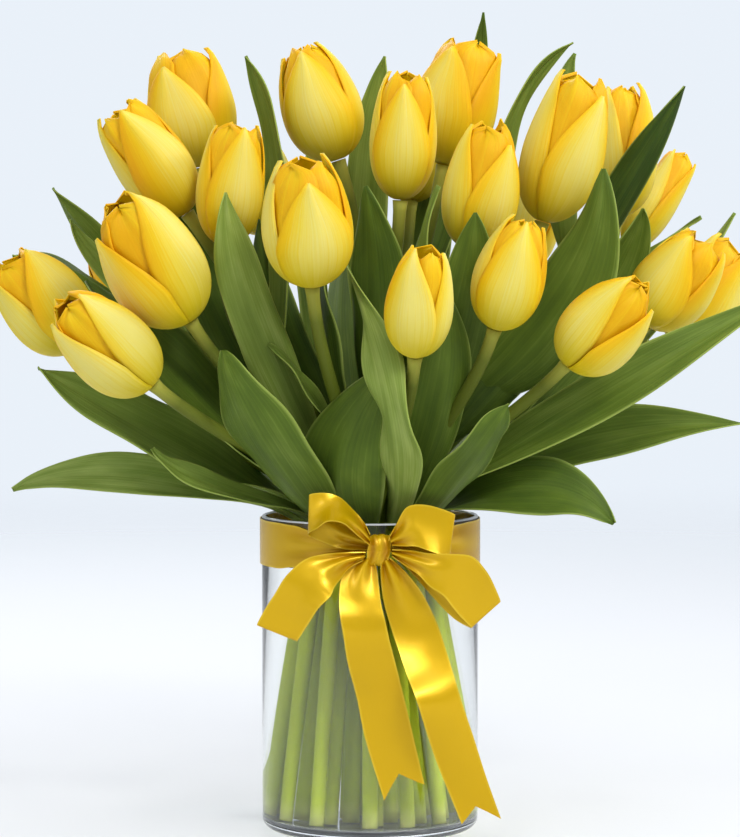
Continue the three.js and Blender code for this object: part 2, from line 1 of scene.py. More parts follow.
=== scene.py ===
# %% [markdown]
# # A bunch of yellow tulips in a glass vase
#
# The object is a bunch of yellow tulips. It stands in a straight glass cylinder of water, and a satin
# ribbon is tied round the top of the glass in a bow. The CAD model has already settled every size and
# place. This script loads it as a fixed frame and puts a finer piece over each of its plain solids: clear
# glass, cupped petals with streaks, leaves with veins and pale margins, and satin that folds.

import math
import random

import bpy
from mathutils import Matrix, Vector


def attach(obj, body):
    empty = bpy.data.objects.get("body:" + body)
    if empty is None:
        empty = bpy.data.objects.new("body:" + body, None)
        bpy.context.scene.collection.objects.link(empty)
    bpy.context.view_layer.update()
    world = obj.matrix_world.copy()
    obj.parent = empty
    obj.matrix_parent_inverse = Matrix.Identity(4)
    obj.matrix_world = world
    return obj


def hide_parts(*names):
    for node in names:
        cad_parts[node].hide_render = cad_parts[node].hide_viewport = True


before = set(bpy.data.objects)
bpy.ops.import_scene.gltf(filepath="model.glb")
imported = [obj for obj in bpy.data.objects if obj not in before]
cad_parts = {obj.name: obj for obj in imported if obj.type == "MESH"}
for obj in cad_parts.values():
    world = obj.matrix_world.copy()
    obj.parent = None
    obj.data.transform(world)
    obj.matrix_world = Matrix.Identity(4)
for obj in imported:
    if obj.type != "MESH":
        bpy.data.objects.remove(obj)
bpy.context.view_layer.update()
print("solid nodes:", len(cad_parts))

# %% [markdown]
# ## Camera
#
# The photograph is taken with a long lens, from a little above the middle of the bunch, looking slightly
# down: the vase's rim shows as a very flat ellipse. A camera 1.6 m away with its lens worked out from the
# frame's height gives that view. Its pitch is set by turning it down from level.

# %% Camera
# The photograph's height and the lens's focal length in its pixels, and the sensor's width in millimetres.
FRAME_HEIGHT = 837
FOCAL_PIXELS = 3402
SENSOR = 36
CAMERA_PLACE = (0, -1.6, 0.285)
PITCH_DOWN = math.radians(3.28)
FARTHEST_SEEN = 50

camera_data = bpy.data.cameras.new("camera")
camera_data.sensor_width = SENSOR
camera_data.lens = SENSOR * FOCAL_PIXELS / FRAME_HEIGHT
camera_data.clip_end = FARTHEST_SEEN
camera = bpy.data.objects.new("camera", camera_data)
camera.location = CAMERA_PLACE
camera.rotation_euler = (math.pi / 2 - PITCH_DOWN, 0, 0)
bpy.context.scene.collection.objects.link(camera)
bpy.context.scene.camera = camera
print("lens", round(camera_data.lens, 1), "mm")

# %% [markdown]
# ## Wiring of materials
#
# A finish is a tree of nodes in which patterns feed a shader. Placed and joined one by one, the nodes
# would hide what they do, so one small helper gives the common steps short names. A number or a colour
# that is the same all over goes straight into the node's own socket, and only what changes over a surface
# is joined. The floor, the sky and every finish are made with it.

# %% Wiring helper
class Wiring:
    """Short names for placing and joining the nodes of one tree."""

    def __init__(self, tree):
        self.tree = tree
        self.shader = tree.nodes.get("Principled BSDF")

    def put(self, socket, value):
        """Joins an output to a socket, or sets the socket to a number or a colour."""
        if isinstance(value, bpy.types.NodeSocket):
            self.tree.links.new(value, socket)
        else:
            socket.default_value = value

    def feed(self, node, inputs):
        """Sets or joins a node's inputs by name. An underscore in a name stands for a space."""
        for name, value in inputs.items():
            self.put(node.inputs[name.replace("_", " ")], value)

    def node(self, kind, operation=None, **inputs):
        """Places a node and sets or joins its inputs."""
        made = self.tree.nodes.new(kind)
        if operation:
            made.operation = operation
        self.feed(made, inputs)
        return made

    def math(self, operation, *values, clamp=False):
        """A Math node's result."""
        made = self.node("ShaderNodeMath", operation)
        made.use_clamp = clamp
        for socket, value in zip(made.inputs, values):
            self.put(socket, value)
        return made.outputs["Value"]

    def ramp(self, value, stops):
        """A colour ramp over a value. Each stop is its place and its colour."""
        made = self.node("ShaderNodeValToRGB", Fac=value)
        elements = made.color_ramp.elements
        while len(elements) < len(stops):
            elements.new(0.5)
        for element, (position, colour) in zip(elements, stops):
            element.position = position
            element.color = (*colour, 1)
        return made.outputs["Color"]

    def mix(self, share, *colours):
        """The mix of two colours."""
        made = self.node("ShaderNodeMix")
        made.data_type = "RGBA"
        self.put(made.inputs[0], share)
        for socket, colour in zip(made.inputs[6:8], colours):
            self.put(socket, (*colour, 1) if isinstance(colour, tuple) else colour)
        return made.outputs[2]

    def step(self, value, low, high):
        """Goes smoothly from 0 to 1 as the value goes from low to high."""
        made = self.node("ShaderNodeMapRange", Value=value, From_Min=low, From_Max=high)
        made.interpolation_type = "SMOOTHSTEP"
        return made.outputs["Result"]

    def uv(self):
        """The two UV coordinates, across and along."""
        split = self.node("ShaderNodeSeparateXYZ", Vector=self.node("ShaderNodeUVMap").outputs["UV"])
        return split.outputs["X"], split.outputs["Y"]

    def off_middle(self, across):
        """How far a place is from the sheet's middle: 0 there and 1 at its edges."""
        return self.math("ABSOLUTE", self.math("SUBTRACT", self.math("MULTIPLY", across, 2.0), 1.0))

    def number(self, attribute):
        """A number that the piece's points hold."""
        made = self.node("ShaderNodeAttribute")
        made.attribute_name = attribute
        return made.outputs["Fac"]

    def bump(self, height, strength, distance):
        """Joins a height to the shader's normal."""
        made = self.node("ShaderNodeBump", Height=height, Strength=strength, Distance=distance)
        self.put(self.shader.inputs["Normal"], made.outputs["Normal"])

    def surface(self, share, first, second):
        """Puts the mix of two shaders on the surface."""
        mixed = self.node("ShaderNodeMixShader", Fac=share)
        for socket, shader in zip(mixed.inputs[1:], (first, second)):
            self.put(socket, shader.outputs["BSDF"])
        self.put(self.tree.nodes["Material Output"].inputs["Surface"], mixed.outputs["Shader"])


def new_material(name):
    """A new material with nodes, and the wiring of its tree."""
    material = bpy.data.materials.new(name)
    material.use_nodes = True
    return material, Wiring(material.node_tree)


# %% [markdown]
# ## Floor and light
#
# The bunch stands on a pale floor in soft daylight. One round plate is enough for the floor. Its material
# fades out with distance from the vase, so that no edge shows behind the flowers. Six soft lamps and a
# pale sky do the rest. The key lamp stands in front and to the right, and a small bright one inside it
# and another at the left make the cream glints on the satin. One at the right shapes the petals, a weak
# one fills the left side, and one behind gives the petals and the glass their bright edges. The sky is
# bright overhead and darker below, which gives satin and leaves something to mirror. Where the camera
# sees it, also through the glass, it is pale and even.

# %% Floor
FLOOR_RADIUS = 3.0
FLOOR_SIDES = 96
# The floor starts to fade at the first distance from the vase, in metres, and is gone at the second.
FLOOR_FADE = (0.45, 2.2)
FLOOR_COLOUR = (0.7, 0.71, 0.725, 1)

bpy.ops.object.select_all(action="DESELECT")
bpy.ops.mesh.primitive_circle_add(
    vertices=FLOOR_SIDES, radius=FLOOR_RADIUS, fill_type="NGON", location=(0, 0, 0)
)
floor = bpy.context.object
floor.name = "floor"
floor_material, plate = new_material("pale_floor")
plate.feed(plate.shader, {"Base Color": FLOOR_COLOUR, "Roughness": 0.55})
place = plate.node("ShaderNodeTexCoord").outputs["Object"]
distance = plate.node("ShaderNodeVectorMath", "LENGTH", Vector=place).outputs["Value"]
faded = plate.step(distance, *FLOOR_FADE)
plate.surface(faded, plate.shader, plate.node("ShaderNodeBsdfTransparent"))
floor.data.materials.append(floor_material)
print("floor", 2 * FLOOR_RADIUS, "m wide")

# %% Lamps
LAMPS = {
    # name: place, size, watts, colour
    "key": ((0.7, -1.25, 1.3), 1.0, 10.5, (1.0, 0.97, 0.92)),
    "glint": ((0.7, -1.25, 1.32), 0.26, 7, (1.0, 0.98, 0.95)),
    "left_glint": ((-0.55, -1.2, 1.15), 0.2, 2.5, (1.0, 0.98, 0.95)),
    "side": ((1.3, 0.0, 1.3), 0.4, 11, (1.0, 0.97, 0.92)),
    "fill": ((-1.3, -0.9, 0.75), 1.2, 3, (0.93, 0.96, 1.0)),
    "back": ((-0.5, 1.3, 1.1), 1.0, 9, (1.0, 0.98, 0.95)),
}
LIT_POINT = Vector((0, 0, 0.22))

for name, (position, size, watts, colour) in LAMPS.items():
    lamp_data = bpy.data.lights.new(name, "AREA")
    lamp_data.size = size
    lamp_data.energy = watts
    lamp_data.color = colour
    lamp = bpy.data.objects.new(name, lamp_data)
    lamp.location = position
    lamp.rotation_euler = (LIT_POINT - Vector(position)).to_track_quat("-Z", "Y").to_euler()
    bpy.context.scene.collection.objects.link(lamp)
print("lamps:", ", ".join(LAMPS))

# %% Sky
# The colour that the camera sees, and those that light the pieces, from straight down to straight up.
SEEN_SKY = (0.82, 0.88, 0.95)
STRAIGHT_DOWN = -1.0
SKY_STOPS = [(0.0, (0.24, 0.25, 0.26)), (0.5, (0.46, 0.49, 0.53)), (1.0, (0.86, 0.91, 1.0))]

world = bpy.data.worlds.new("sky")
world.use_nodes = True
sky = Wiring(world.node_tree)
direction = sky.node("ShaderNodeTexCoord").outputs["Generated"]
upward = sky.node("ShaderNodeSeparateXYZ", Vector=direction).outputs["Z"]
rise = sky.node("ShaderNodeMapRange", Value=upward, From_Min=STRAIGHT_DOWN).outputs["Result"]
path = sky.node("ShaderNodeLightPath").outputs
seen = sky.math("MAXIMUM", path["Is Camera Ray"], path["Is Transmission Ray"])
sky_colour = sky.mix(seen, sky.ramp(rise, SKY_STOPS), SEEN_SKY)
sky.feed(sky.tree.nodes["Background"], {"Color": sky_colour})
bpy.context.scene.world = world
bpy.context.scene.view_settings.view_transform = "Standard"
print("sky stops:", len(SKY_STOPS))

# %% [markdown]
# ## How the pieces are put in place
#
# A finished piece stands for one CAD node, whose plain solid it hides, and rides on the one rigid body.
# Its object stays at the origin and its place is in its mesh.

# %% Placing helper
def place_piece(piece, node):
    """Puts a piece on the one rigid body and hides the CAD node that it stands for."""
    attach(piece, "root")
    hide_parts(node)
    return piece


def apply_modifier(piece, kind, **settings):
    """Adds a modifier with these settings and applies it."""
    bpy.ops.object.select_all(action="DESELECT")
    piece.select_set(True)
    bpy.context.view_layer.objects.active = piece
    modifier = piece.modifiers.new(kind.lower(), kind)
    for setting, value in settings.items():
        setattr(modifier, setting, value)
    bpy.ops.object.modifier_apply(modifier=modifier.name)


def triangles(piece):
    """How many triangles a piece's mesh has."""
    return sum(len(face.vertices) - 2 for face in piece.data.polygons)


# %% [markdown]
# ## The vase
#
# The vase is a plain cylinder of clear glass with a thick base. It starts as a solid cylinder, whose top
# face is inset by the wall's thickness and pushed down inside to make the hollow. Then the rings of edges
# at the foot, the inside corner and the rim are bevelled, each by its own size, which one Bevel modifier
# over the whole piece couldn't do. Its sides are many and shaded smooth, so the glass bends light evenly.

# %% Vase mesh
MM = 0.001
VASE_RADIUS = 51 * MM
VASE_HEIGHT = 148 * MM
VASE_WALL = 1.9 * MM
VASE_BASE = 5 * MM
VASE_SIDES = 128
# The size of each rounding and the number of its steps.
FOOT_ROUND = (5 * MM, 6)
INSIDE_ROUND = (4 * MM, 5)
RIM_ROUND = (0.8 * MM, 4)
# How near to a ring of edges a point counts as one of it.
NEAR = 0.3 * MM
# Faces that meet at less than this are shaded smooth.
SMOOTH_ANGLE = math.radians(40)


def select_top_face(piece):
    """Leaves only the highest face of a mesh selected."""
    bpy.ops.mesh.select_all(action="DESELECT")
    bpy.ops.object.mode_set(mode="OBJECT")
    top = max(piece.data.polygons, key=lambda face: face.center.z)
    top.select = True
    bpy.ops.object.mode_set(mode="EDIT")


def round_edges_at(piece, height, radius, rounding):
    """Bevels the ring of edges that lies at this height and distance from the axis."""
    width, segments = rounding
    bpy.ops.mesh.select_mode(type="EDGE")
    bpy.ops.mesh.select_all(action="DESELECT")
    bpy.ops.object.mode_set(mode="OBJECT")
    ring = {
        vertex.index
        for vertex in piece.data.vertices
        if abs(vertex.co.z - height) < NEAR and abs(vertex.co.xy.length - radius) < NEAR
    }
    for edge in piece.data.edges:
        edge.select = all(index in ring for index in edge.vertices)
    bpy.ops.object.mode_set(mode="EDIT")
    bpy.ops.mesh.bevel(offset=width, segments=segments, affect="EDGES", clamp_overlap=False)
    bpy.ops.mesh.select_all(action="DESELECT")


bpy.ops.object.select_all(action="DESELECT")
bpy.ops.mesh.primitive_cylinder_add(
    vertices=VASE_SIDES, radius=VASE_RADIUS, depth=VASE_HEIGHT, location=(0, 0, VASE_HEIGHT / 2)
)
vase = bpy.context.object
vase.name = "glass_vase"
bpy.ops.object.transform_apply(location=True, rotation=False, scale=False)
bpy.ops.object.mode_set(mode="EDIT")
bpy.ops.mesh.select_mode(type="FACE")
select_top_face(vase)
bpy.ops.mesh.inset(thickness=VASE_WALL)
bpy.ops.mesh.extrude_region_move(TRANSFORM_OT_translate={"value": (0, 0, VASE_BASE - VASE_HEIGHT)})
inner_radius = VASE_RADIUS - VASE_WALL
round_edges_at(vase, 0, VASE_RADIUS, FOOT_ROUND)
round_edges_at(vase, VASE_BASE, inner_radius, INSIDE_ROUND)
round_edges_at(vase, VASE_HEIGHT, VASE_RADIUS, RIM_ROUND)
round_edges_at(vase, VASE_HEIGHT, inner_radius, RIM_ROUND)
bpy.ops.object.mode_set(mode="OBJECT")
bpy.ops.object.shade_smooth_by_angle(angle=SMOOTH_ANGLE)
place_piece(vase, "vase")
print("vase", triangles(vase), "triangles")

# %% [markdown]
# ## The water
#
# The water fills the vase up to the ribbon, whose lower edge hides its surface. Light should go straight
# from glass into water with no film of air between them, so the water's side reaches a hair into the
# glass wall, and the stems simply stand in it. Where the CAD water has a plain hole for each stem, none
# is needed here: the stems are opaque.

# %% Water mesh
WATER_LEVEL = 126 * MM
WATER_OVERLAP = 0.05 * MM

bpy.ops.object.select_all(action="DESELECT")
water_bottom = VASE_BASE - WATER_OVERLAP
water_radius = inner_radius + WATER_OVERLAP
bpy.ops.mesh.primitive_cylinder_add(
    vertices=VASE_SIDES,
    radius=water_radius,
    depth=WATER_LEVEL - water_bottom,
    location=(0, 0, (WATER_LEVEL + water_bottom) / 2),
)
water = bpy.context.object
water.name = "vase_water"
bpy.ops.object.transform_apply(location=True, rotation=False, scale=False)
bpy.ops.object.mode_set(mode="EDIT")
round_edges_at(water, water_bottom, water_radius, INSIDE_ROUND)
bpy.ops.object.mode_set(mode="OBJECT")
bpy.ops.object.shade_smooth_by_angle(angle=SMOOTH_ANGLE)
place_piece(water, "water")
print("water", triangles(water), "triangles")

# %% [markdown]
# ## Glass and water finish
#
# Clear glass is a fully transmitting surface with hardly any roughness. Lamps can't be found through a
# bending surface, so the stems inside would be dark and grainy. For shadow rays only, the surface is
# plainly transparent: the light then reaches the stems, and the floor gets only a faint shadow. The same
# is done for the water, which bends light a little less. Where water wets glass there is hardly any
# reflection, so the water's surface and the wall's inside have almost no mirror of their own. The rounded
# rim catches light from all sides and looks like a pale line, so that line is painted in: the rim gets a
# pale finish that is only partly clear, a painted highlight.

# %% Glass and water materials
def clear_material(name, colour, ior, shadow_tint, mirror=0.5, clearness=1.0):
    """A clear, polished surface that lets lamps shine through. A mirror of 0.5 is what its IOR gives."""
    material, clear = new_material(name)
    clear.feed(
        clear.shader,
        {
            "Base Color": (*colour, 1),
            "Roughness": 0.0,
            "IOR": ior,
            "Transmission Weight": clearness,
            "Specular IOR Level": mirror,
        },
    )
    shadow_ray = clear.node("ShaderNodeLightPath").outputs["Is Shadow Ray"]
    seen_through = clear.node("ShaderNodeBsdfTransparent", Color=(*shadow_tint, 1))
    clear.surface(shadow_ray, clear.shader, seen_through)
    return material


GLASS = (0.97, 0.98, 0.985)
GLASS_SHADE = (0.95, 0.96, 0.965)
RIM_PAINTED_HIGHLIGHT = (0.8, 0.83, 0.87)
WATER = (0.99, 1.0, 0.995)
WATER_SHADE = (0.97, 0.98, 0.98)
GLASS_IOR = 1.45
RIM_IOR = 1.3
WATER_IOR = 1.33
# The vase has three finishes, in this order: for its dry glass, its rim's painted highlight and its
# wetted inside.
RIM_FINISH = 1
WET_FINISH = 2

vase.data.materials.append(clear_material("clear_glass", GLASS, GLASS_IOR, GLASS_SHADE, mirror=0.12))
# The rim's pale, partly clear finish is a painted highlight.
vase.data.materials.append(clear_material("rim_glass_painted_highlight", RIM_PAINTED_HIGHLIGHT, RIM_IOR, GLASS_SHADE, clearness=0.35))
vase.data.materials.append(clear_material("wetted_glass", GLASS, GLASS_IOR, GLASS_SHADE, mirror=0.05))
for face in vase.data.polygons:
    height = face.center.z
    inside = face.center.xy.length < VASE_RADIUS - VASE_WALL / 2 and height > VASE_BASE / 2
    if inside and height < WATER_LEVEL:
        face.material_index = WET_FINISH
    elif height > VASE_HEIGHT - 2 * RIM_ROUND[0]:
        face.material_index = RIM_FINISH
water.data.materials.append(clear_material("clear_water", WATER, WATER_IOR, WATER_SHADE, mirror=0.05))
print("wetted faces:", sum(face.material_index == WET_FINISH for face in vase.data.polygons))

# %% [markdown]
# ## Sheets from a grid
#
# Petals, leaves, stems and ribbon are all thin skins, and all of them are longer than wide with something
# that runs along them: streaks, veins or weave. One way of modelling serves them all. A grid primitive
# brings a flat mesh with an even UV map, its points are moved to a surface that is written as a rule for
# u across and v along, and a Solidify modifier gives the skin its thickness. The UV map stays, so each
# pattern follows its petal or leaf however it bends. Pulling each of these waved surfaces by hand from a
# cube wouldn't give outlines this fine.

# %% Grid helpers
def sheet_grid(name, across, along, place):
    """A grid of across by along faces whose points go to place(u, v), with u and v from 0 to 1."""
    bpy.ops.object.select_all(action="DESELECT")
    bpy.ops.mesh.primitive_grid_add(x_subdivisions=across, y_subdivisions=along, size=1, location=(0, 0, 0))
    grid = bpy.context.object
    grid.name = name
    for vertex in grid.data.vertices:
        vertex.co = place(vertex.co.x + 0.5, vertex.co.y + 0.5)
    return grid


def write_number(piece, attribute, value):
    """Stores one number on all of a piece's points, for its material to read."""
    layer = piece.data.attributes.new(attribute, "FLOAT", "POINT")
    layer.data.foreach_set("value", [value] * len(piece.data.vertices))


def join_pieces(name, pieces):
    """Makes several meshes one, shaded smooth."""
    bpy.ops.object.select_all(action="DESELECT")
    for piece in pieces:
        piece.select_set(True)
    bpy.context.view_layer.objects.active = pieces[0]
    if len(pieces) > 1:
        bpy.ops.object.join()
    joined = bpy.context.object
    joined.name = name
    bpy.ops.object.shade_smooth()
    return joined


def smoothstep(value, low, high):
    """0 below low, 1 above high, and an even S between them."""
    share = min(max((value - low) / (high - low), 0), 1)
    return share * share * (3 - 2 * share)


# %% [markdown]
# ## Curves
#
# Stems and leaves grow along simple curves with two or one bending points. The ribbon's edges pass through
# points placed over the photograph, so for them a curve through points is needed.

# %% Curves
def cubic(points, share):
    """A place on a cubic Bezier curve and the direction there."""
    a, b, c, d = points
    rest = 1 - share
    place = a * rest**3 + b * 3 * share * rest**2 + c * 3 * share**2 * rest + d * share**3
    tangent = (b - a) * rest**2 + (c - b) * 2 * share * rest + (d - c) * share**2
    return place, tangent.normalized()


def quadratic(points, share):
    """A place on a quadratic Bezier curve and the direction there."""
    a, b, c = points
    rest = 1 - share
    place = a * rest**2 + b * 2 * share * rest + c * share**2
    return place, ((b - a) * rest + (c - b) * share).normalized()


def through(points, share):
    """A place on a smooth curve that passes through all of its points, and the direction there."""
    spans = len(points) - 1
    span = min(int(share * spans), spans - 1)
    t = share * spans - span
    p1, p2 = points[span], points[span + 1]
    p0 = points[span - 1] if span > 0 else 2 * p1 - p2
    p3 = points[span + 2] if span + 2 <= spans else 2 * p2 - p1
    b = (p2 - p0) / 2
    c = p0 - 2.5 * p1 + 2 * p2 - p3 / 2
    d = (p3 - p0) / 2 + 1.5 * (p1 - p2)
    return p1 + b * t + c * t**2 + d * t**3, (b + c * 2 * t + d * 3 * t**2).normalized()


def metres(point):
    """A place given in millimetres, as a vector in metres."""
    return Vector(point) * MM


# %% [markdown]
# ## Lengthwise lines
#
# Petals have fine streaks from root to tip, leaves and stems have parallel veins, and satin has its
# threads. All are the same effect at other scales: a noise that is squeezed across the sheet and
# stretched along it. It is one node group, which reads the UV map and puts out a mask. A mask can tint a
# colour or be a bump's height.

# %% Node group for lines
def lengthwise_lines():
    """A node group: a noise stretched along the sheet, with its own scales and contrast."""
    group = bpy.data.node_groups.new("Lengthwise lines", "ShaderNodeTree")
    for socket, value in (("Across", 60.0), ("Along", 1.5), ("Contrast", 1.0)):
        made = group.interface.new_socket(name=socket, in_out="INPUT", socket_type="NodeSocketFloat")
        made.default_value = value
    group.interface.new_socket(name="Mask", in_out="OUTPUT", socket_type="NodeSocketFloat")
    wires = Wiring(group)
    entry = wires.node("NodeGroupInput").outputs
    uv = wires.node("ShaderNodeUVMap").outputs["UV"]
    scales = wires.node("ShaderNodeCombineXYZ", X=entry["Across"], Y=entry["Along"]).outputs["Vector"]
    stretched = wires.node("ShaderNodeVectorMath", "MULTIPLY", Vector=uv)
    wires.put(stretched.inputs[1], scales)
    noise = wires.node("ShaderNodeTexNoise", Vector=stretched.outputs["Vector"], Scale=1.0, Detail=3.0)
    centred = wires.math("SUBTRACT", noise.outputs["Fac"], 0.5)
    spread = wires.math("MULTIPLY", centred, entry["Contrast"])
    wires.node("NodeGroupOutput", Mask=wires.math("ADD", spread, 0.5, clamp=True))
    return group


LINES = lengthwise_lines()


def lines(wires, across, along, contrast):
    """The mask of the lengthwise lines at these scales, placed in one material."""
    made = wires.node("ShaderNodeGroup")
    made.node_tree = LINES
    wires.feed(made, {"Across": across, "Along": along, "Contrast": contrast})
    return made.outputs["Mask"]


print("nodes in the lines group:", len(LINES.nodes))

# %% [markdown]
# ## The petals
#
# A tulip has three outer petals and three inner ones, in turn. Seen from above, an outer one covers about
# a third of the ring and an inner one a little more. Each petal lies on the bloom's cup: its rule gives
# the cup's radius at each height and how far the petal reaches to either side. The outer petals taper to
# a pinched point that is folded along its rib. They stand a little off the inner ones, with their margins
# drawn in, and turn out at the very tip. The inner ones are broader and blunter and have ruffled tops
# that lean together. A seeded draw gives each petal its own small differences.

# %% Tulips
# Each tulip, in millimetres: its stem's ring and direction in degrees, its bloom's base and top, the
# bloom's width, how far its petals stand open, and the turn of its front petal in degrees.
TULIPS = {
    "a": ("middle", 140, (-80, 22, 312), (-91, 20, 367), 44, 0.42, -25),
    "b": ("middle", 185, (-85, -18, 290), (-118, -25, 339), 35, 0.45, 18),
    "c": ("middle", 230, (-67, -34, 275), (-60, -38, 331), 32, 0.5, 20),
    "d": ("inner", 135, (-15, 8, 315), (-33, 6, 369), 40, 0.05, -8),
    "e": ("middle", 275, (-26, -70, 257), (-30, -86, 315), 43, 0.18, 10),
    "f": ("inner", 225, (14, -24, 296), (17, -26, 355), 32, 0.4, 0),
    "g": ("inner", 45, (35, 25, 313), (47.5, 28, 372), 41, 0.5, -35),
    "h": ("inner", 315, (46, -34, 273), (56, -40, 332), 36, 0.3, 35),
    "i": ("middle", 320, (80.5, -8, 286), (101, -12, 354.5), 39, 0.45, 30),
    "j": ("middle", 5, (118, 38, 288), (121, 40, 352), 36, 0.3, 60),
    "k": ("outer", 52, (125, 62, 273), (155, 84, 319), 21, 0.6, 60),
    "l": ("outer", 352, (128, -16, 238), (156, -24, 278), 38, 0.38, -30),
    "m": ("outer", 22, (146, 26, 228), (174, 24, 276), 36, 0.4, 30),
    "n": ("outer", 322, (89, -66, 222), (121, -88, 259), 37, 0.1, 60),
    "o": ("outer", 296, (56, -72, 238), (70, -84, 287), 34, 0.1, 5),
    "p": ("outer", 270, (20, -88, 226), (24, -104, 276), 31, 0.25, -30),
    "q": ("outer", 232, (-82, -50, 241), (-114, -68, 296), 46, 0.32, -60),
    "r": ("outer", 172, (-137, 4, 226.5), (-171, 0, 269), 41, 0.45, 40),
    "s": ("outer", 202, (-98, -68, 213), (-137, -90, 251), 38, 0.25, -60),
    "t": ("middle", 95, (-52, 80, 280), (-58, 96, 328), 38, 0.3, 160),
    "u": ("middle", 50, (20, 75, 296), (24, 90, 353), 38, 0.2, 180),
    "v": ("outer", 82, (70, 95, 262), (86, 120, 311), 37, 0.35, 210),
    "w": ("outer", 142, (-105, 80, 235), (-134, 106, 277), 38, 0.4, 150),
    "x": ("outer", 112, (5, 125, 228), (4, 157, 274), 38, 0.3, 190),
}
# The length of the front petal where it is given, as a share of the bloom's height.
FRONT_LENGTHS = {
    "a": 0.88,
    "d": 0.94,
    "e": 0.86,
    "f": 0.9,
    "g": 0.9,
    "h": 0.85,
    "i": 0.89,
    "n": 0.9,
    "q": 0.86,
}
print("tulips:", len(TULIPS))

# %% Cup and petal outlines
PETAL_THICKNESS = 0.5 * MM
# A petal starts at this share of its length, and its rows of points crowd towards its root by this power.
PETAL_ROOT = 0.006
ROOT_CROWDING = 1.4
# The two kinds of petal: the faces of its grid, its distance from the axis as a share of the cup's
# radius, half the angle that it covers in radians, the share of its length where it is widest, the two
# powers of its taper and its least half width at the tip, the range of its length as a share of the
# bloom's, and a mark for its material.
OUTER = {
    "across": 16,
    "along": 24,
    "reach": 0.94,
    "half_angle": 1.0,
    "widest": 0.38,
    "taper": (1.6, 0.92),
    "tip": 0.02,
    "lengths": (0.93, 1.02),
    "inner": 0.0,
}
INNER = {
    "across": 22,
    "along": 28,
    "reach": 0.84,
    "half_angle": 1.3,
    "widest": 0.5,
    "taper": (5, 0.5),
    "tip": 0.04,
    "lengths": (0.94, 0.99),
    "inner": 1.0,
}
# The cup's outline is half a sine wave, cut off before its end. One power lowers its belly and the other
# fills it out. In a bloom that stands open it flares at the top.
CUP_END = 0.8
CUP_BELLY = 0.62
CUP_FULLNESS = 0.8
CUP_FLARE = 0.5
# The rounded top starts at this share of the height. In a bloom that stands open it starts later and ends
# higher. What is under the root sign is never less than the last value, so that the top isn't a point.
DOME_START = 0.68
DOME_DELAY = 0.25
DOME_RISE = 0.04
DOME_LEAST = 0.02
# How much narrower a petal is at its root than where it is widest.
ROOT_NARROWING = 0.5


def cup_radius(share, open_share):
    """The cup's radius at a share of its height, where the widest is about 1."""
    closed = math.sin(math.pi * (CUP_END * share) ** CUP_BELLY) ** CUP_FULLNESS
    return closed + CUP_FLARE * open_share * share**3


def dome_share(height, open_share):
    """How much of the cup's radius the rounded top leaves at a share of the bloom's height: 1 below it, near
    0 at the top. A bloom that is more open closes later and not wholly."""
    start = DOME_START + DOME_DELAY * open_share
    past = max(height - start, 0) / (1 + DOME_RISE * open_share - start)
    return math.sqrt(max(1 - past**2, DOME_LEAST))


def petal_half_width(share, kind):
    """Half a petal's width at a share of its length, where the widest is 1."""
    widest = kind["widest"]
    if share < widest:
        return 1 - ROOT_NARROWING * ((widest - share) / widest) ** 2
    past = (share - widest) / (1 - widest)
    bluntness, fullness = kind["taper"]
    return max((1 - past**bluntness) ** fullness, kind["tip"])


# %% Petal surface
# The ranges of each petal's own differences: how much further it stands open, the height of its margins'
# wave, and the turn and the outward curl of its tip.
OPEN_RANGE = (-0.05, 0.08)
WAVE_RANGE = (0.008, 0.02)
TIP_TURN_RANGE = (-0.14, 0.14)
TIP_CURL_RANGE = (0.0, 0.07)
# The parts of a petal's length over which its tip, its upper half, its waves and its rib come in.
TIP_PART = (0.86, 1)
UPPER_PART = (0.55, 1)
WAVED_PART = (0.25, 0.8)
RIBBED_PART = (0.1, 0.5)
# The margins' wave in radians over the petal's length, the rib's height as a share of the bloom's radius,
# and its half width and how far the margins are drawn in, as shares of half the petal's width and of the
# radius.
MARGIN_WAVE = 7
RIB_HEIGHT = 0.03
RIB_HALF_WIDTH = 0.1
MARGIN_DRAWN_IN = 0.05
# How much of its distance from the axis an outer petal keeps at the closed top, and the least distance of
# any petal as a share of the radius.
DOME_HOLD = 0.6
LEAST_RADIUS = 0.02
# The ruffles of an inner petal's top: each wave's height as a share of the bloom's radius for the outward
# ones and of its height for the upward ones, its radians from the middle to a margin, and 1 if the petal's
# own draw shifts it.
OUTWARD_RUFFLES = [(0.06, 4.6, 1), (0.022, 12, 0)]
UPWARD_RUFFLES = [(0.015, 3, 1), (0.005, 11, 1)]


def ruffle(side, start, waves):
    """The sum of some waves across a petal."""
    return sum(height * math.sin(radians * side + shifted * start) for height, radians, shifted in waves)


def bloom_frame(base, top, width, turn):
    """The bloom's own axes and sizes."""
    base, top = metres(base), metres(top)
    axis = (top - base).normalized()
    toward_viewer = Vector((0, -1, 0))
    front = (toward_viewer - axis * toward_viewer.dot(axis)).normalized()
    return {
        "base": base,
        "axis": axis,
        "front": front,
        "side": axis.cross(front),
        "height": (top - base).length,
        "radius": width / 2 * MM,
        "turn": math.radians(turn),
    }


